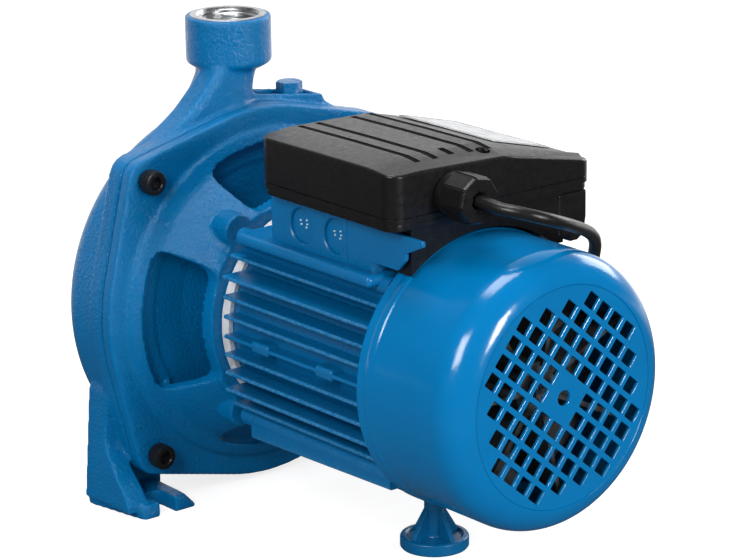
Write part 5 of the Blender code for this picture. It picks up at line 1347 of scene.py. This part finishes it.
def cover():
    corner = (COVER_RADIUS - COVER_EDGE, COVER_END - COVER_EDGE)
    rim = COVER_RIM
    crest = acos((DISC_RADIUS + 0.0008 - corner[0]) / COVER_EDGE)
    shoulder = arc(corner, COVER_EDGE, crest, 0, 24)
    profile = [(DISC_RADIUS, COVER_END - DISC_STEP), (DISC_RADIUS + 0.0003, shoulder[0][1] - 0.0005)]
    profile += [(DISC_RADIUS + 0.0005, shoulder[0][1] - 0.0001), *shoulder]
    profile += [
        (COVER_RADIUS, 0.2068), (COVER_RADIUS + 0.0001, 0.2062), (rim - 0.0002, 0.2055), (rim, 0.2046),
        (rim, 0.2022), (rim - 0.0003, 0.2013), (rim - 0.0005, 0.2005), (rim - 0.0003, 0.1997), (rim, 0.1988),
        (rim, 0.1962), (rim - 0.0003, 0.1954), (rim - 0.0009, COVER_FRONT),
        (COVER_RADIUS - COVER_WALL + 0.0003, COVER_FRONT), (COVER_RADIUS - COVER_WALL, COVER_FRONT + 0.0003)]
    inside = arc(corner, COVER_EDGE - COVER_WALL, 0, pi / 2, 16)
    profile += [spot for spot in inside if spot[0] > DISC_RADIUS + 0.0004 and spot[1] < COVER_END - COVER_WALL]
    profile += [(DISC_RADIUS, COVER_END - COVER_WALL)]
    item = turned("pressed_cover", profile, COVER_STEPS)
    disc = grille_disc()
    shape = bmesh.new()
    shape.from_mesh(item.data)
    extra = bpy.data.meshes.new("disc")
    disc.to_mesh(extra)
    disc.free()
    shape.from_mesh(extra)
    bpy.data.meshes.remove(extra)
    bmesh.ops.remove_doubles(shape, verts=shape.verts, dist=0.000005)
    bmesh.ops.recalc_face_normals(shape, faces=shape.faces)
    shape.to_mesh(item.data)
    shape.free()
    dress(item, "blue_cover_paint", replaced=("fan_cover",), smooth=20)


cover()


# Support foot

def support():
    top = -0.070 - SEAT_GAP
    pad = FLOOR + 0.0065
    centre = (0, SUPPORT_Y, 0)
    body = turned("moulded_foot", [
        (0, top), (0.0053, top), (0.0053, pad + 0.001), (0.0060, pad - 0.0002), (0.0108, pad - 0.0012),
        (0.0138, pad - 0.0014), (0.0148, pad - 0.0006), (0.0154, pad), (0.0170, pad), (0.0176, pad - 0.0003),
        (0.0180, pad - 0.0010), (0.0180, FLOOR + 0.0008), (0.0174, FLOOR), (0, FLOOR)], 72, centre, "+Z")
    outline = [
        (0, pad - 0.002), (0.0148, pad - 0.002), (0.0148, pad + 0.0002), (0.0060, pad + 0.0140),
        (0.0045, pad + 0.0150), (0, pad + 0.0150)]
    webs = []
    for index in range(4):
        web = upright(f"web_{index}", outline, -0.0014, 0.0014)
        soften(web, 0.0004)
        web.data.transform(Matrix.Translation(centre) @ Matrix.Rotation(radians(90 * index), 4, "Z"))
        webs.append(web)
    add(body, *webs)
    dress(body, "blue_plastic", replaced=("support_foot",), smooth=34)


support()


# Terminal box

BOX_FRONT = 0.1035
BOX_RIGHT = 0.060
BOX_LEFT = 0.0724
LID_BOTTOM = 0.0855
LID_TOP = 0.1135
TRAY_HEIGHT = 0.0035
POCKET_LEFT = -0.070
POCKET_REAR = 0.208
PLATE_MIDDLE = (-0.0472, 0.1465)
# Each groove's place across, its front end and its rear end
GROOVES = (
    (0.0350, 0.1062, 0.2000), (0.0235, 0.1062, 0.2000), (0.0120, 0.1890, 0.1985), (0.0005, 0.1062, 0.2000),
    (-0.0110, 0.1062, 0.2000))
# The roof's height across, from the right to the left
ROOF = ((0.060, 0.1118), (0.040, 0.1135), (-0.012, 0.1125), (-0.0724, 0.0968))


def box_corners(inset):
    sides = (BOX_RIGHT - inset, -BOX_LEFT + inset)
    front, rear = (BOX_FRONT + inset, BOX_REAR - inset)
    return [(sides[0], front), (sides[0], rear), (sides[1], rear), (sides[1], front)]


def roof(x):
    for (right, high), (left, low) in zip(ROOF, ROOF[1:]):
        if x >= left or left == -BOX_LEFT:
            return low + (high - low) * (x - left) / (right - left)


def lid():
    body = flat("box_lid", rounded(box_corners(0), 0.008, 10), LID_BOTTOM, LID_TOP + 0.01)
    left = -BOX_LEFT - OVERSHOOT
    right = BOX_RIGHT + OVERSHOOT
    section = [(right, 0.14), (left, 0.14), *[(x, roof(x)) for x in (left, -0.012, 0.040, right)]]
    shares = (1, 1, 0.1, 1, 0.8, 0.45)
    rings = []
    for y, drop in (
            (BOX_FRONT - OVERSHOOT, 0.0006), (0.150, 0.0), (0.190, 0.0), (0.198, 0.0012),
            (BOX_REAR + OVERSHOOT, 0.0043)):
        rings.append([(x, y, z - drop * share) for (x, z), share in zip(section, shares)])
    cut(body, loft("above", rings))
    shape = bmesh.new()
    shape.from_mesh(body.data)
    edges = []
    for edge in shape.edges:
        low = min(v.co.z for v in edge.verts)
        on_roof = low > LID_BOTTOM + 0.005 and len(edge.link_faces) == 2
        if on_roof and edge.calc_face_angle(0) > radians(50):
            edges.append(edge)
    bmesh.ops.bevel(shape, geom=edges, offset=0.0013, segments=4, affect="EDGES", profile=0.5)
    shape.to_mesh(body.data)
    shape.free()
    section = (
        (-0.0019, 0.0008), (-0.0012, 0), (0.0012, 0), (0.0019, 0.0008), (0.0022, 0.008), (-0.0022, 0.008))
    grooves = []
    for index, (x, front, rear) in enumerate(GROOVES):
        rings = []
        for y, drop in ((front, 0), (0.1905, 0), (rear, 0.0014)):
            z = roof(x) - 0.0014 - drop
            rings.append([(x + across, y, z + up) for across, up in section])
        if front > 0.15:
            rings = [rings[0], rings[-1]]
        grooves.append(loft(f"groove_{index}", rings))
    recess = rod("recess", 0.0037, 0.130, 0.1035, 40, (-0.0063, 0.2005, 0), "+Z")
    outside = rounded(box_corners(-0.002), 0.009, 10)
    inside = rounded(box_corners(0.0006), 0.0075, 10)
    seam = flat("seam_outer", outside, LID_BOTTOM + 0.0026, LID_BOTTOM + 0.0034)
    cut(seam, flat("seam_inner", inside, LID_BOTTOM + 0.0010, LID_BOTTOM + 0.0050))
    cut(body, *grooves, recess, seam)
    dress(body, "black_plastic", replaced=("terminal_box_lid",), smooth=28)


lid()


def tray():
    top = LID_BOTTOM - SEAT_GAP
    body = flat("box_tray", rounded(box_corners(0.001), 0.007, 10), top - TRAY_HEIGHT, top)
    soften(body, 0.0005)
    dress(body, "black_plastic", replaced=("terminal_box_tray",), smooth=34)


def pocket():
    """The capacitor's pocket, whose rear end reaches across above the fan cover."""
    top = LID_BOTTOM - 2 * SEAT_GAP - TRAY_HEIGHT
    right = -BASE_HALF - SEAT_GAP
    clear = -LEDGE_HALF - SEAT_GAP
    shelf = 0.058 + SEAT_GAP
    outline = [
        (right, top), (POCKET_LEFT, top), (POCKET_LEFT, 0.0672), (POCKET_LEFT + 0.001, 0.0610),
        (-0.0672, 0.0572), (-0.0640, 0.0552), (clear, 0.0552), (clear, shelf), (right, shelf)]
    body = upright("box_pocket", outline, 0.1145, POCKET_REAR)
    soften(body, 0.0016, 3, 50)
    clearance = COVER_RIM + 0.0014
    across = (-0.054, -0.048, -0.040, -0.032, -0.022, -0.011, 0, 0.011, 0.022, 0.032, 0.040, 0.046)
    under = [(x, max(0.0560, sqrt(clearance ** 2 - x ** 2))) for x in across]
    end = [(across[-1], top), (across[0], top), *under]
    add(body, upright("pocket_end", end, 0.1888, POCKET_REAR - 0.0005))
    dress(body, "black_plastic", replaced=("capacitor_pocket",), smooth=34)


tray()
pocket()


def label():
    """The bare plate on the roof's slope, with a thin dark border printed round it."""
    x, y = PLATE_MIDDLE
    slope = atan2(roof(-0.012) - roof(-0.0724), 0.0604)
    place = Matrix.Translation((x, y, roof(x) + SEAT_GAP)) @ Matrix.Rotation(-slope, 4, "Y")
    plate = flat("bare_plate", rounded(rectangle(0.0205, 0.0375), 0.0015, 5), 0, 0.0005)
    soften(plate, 0.00015, 1)
    plate.data.transform(place)
    dress(plate, "label_silver", replaced=("rating_plate",), smooth=34)
    border = flat("plate_border", rounded(rectangle(0.0197, 0.0367), 0.0012, 5), 0.0004, 0.00058)
    cut(border, flat("inner", rounded(rectangle(0.0188, 0.0358), 0.0008, 5), 0, 0.001))
    border.data.transform(place)
    dress(border, "black_plastic", smooth=34)


label()


# Cable gland

def gland():
    start = BOX_REAR + SEAT_GAP
    collar = turned("gland_ring", [
        (CABLE_RADIUS + 0.0006, 0.0038), (0.0108, 0.0038), (0.0115, 0.0032), (0.0115, 0.0002),
        (0.0113, 0), (CABLE_RADIUS + 0.0006, 0)], 72, (GLAND_X, start, GLAND_Z), closed=True)
    dress(collar, "black_plastic", replaced=("gland_collar",), smooth=34)

    def lobes(angle, index):
        """Eight flats with a shallow groove along each of their edges."""
        if index < 1 or index > 6:
            return 0
        offset = (angle + pi / 16) % (pi / 4) - pi / 8
        groove = 0.0006 if index < 5 and abs(offset) > pi / 8 - 0.07 else 0
        return 0.0118 / cos(offset) - 0.0128 - groove

    nut = turned("gland_grip", [
        (0.0108, 0.0), (0.0126, 0.0), (0.0128, 0.0006), (0.0128, 0.0140), (0.0122, 0.0158),
        (0.0116, 0.0165), (0.0058, 0.0165), (0.0048, 0.0160), (CABLE_RADIUS + 0.0005, 0.0150),
        (CABLE_RADIUS + 0.0004, 0.0)], 256,
        (GLAND_X, start + GLAND_COLLAR_LENGTH + SEAT_GAP, GLAND_Z), closed=True, wave=lobes)
    dress(nut, "black_plastic", replaced=("gland_nut",), smooth=30)


gland()


# Finishes of the solids that stay as they are

for node, slot in (
        ("shaft", "bright_steel"), ("impeller", "brass"), ("impeller_nut", "bright_steel"),
        ("seal_ring", "bright_steel"), ("seal_seat", "grey_polymer"), ("slinger", "black_rubber"),
        ("cooling_fan", "grey_polymer")):
    materials = NODES[node].data.materials
    materials.clear()
    materials.append(FINISHES[slot])
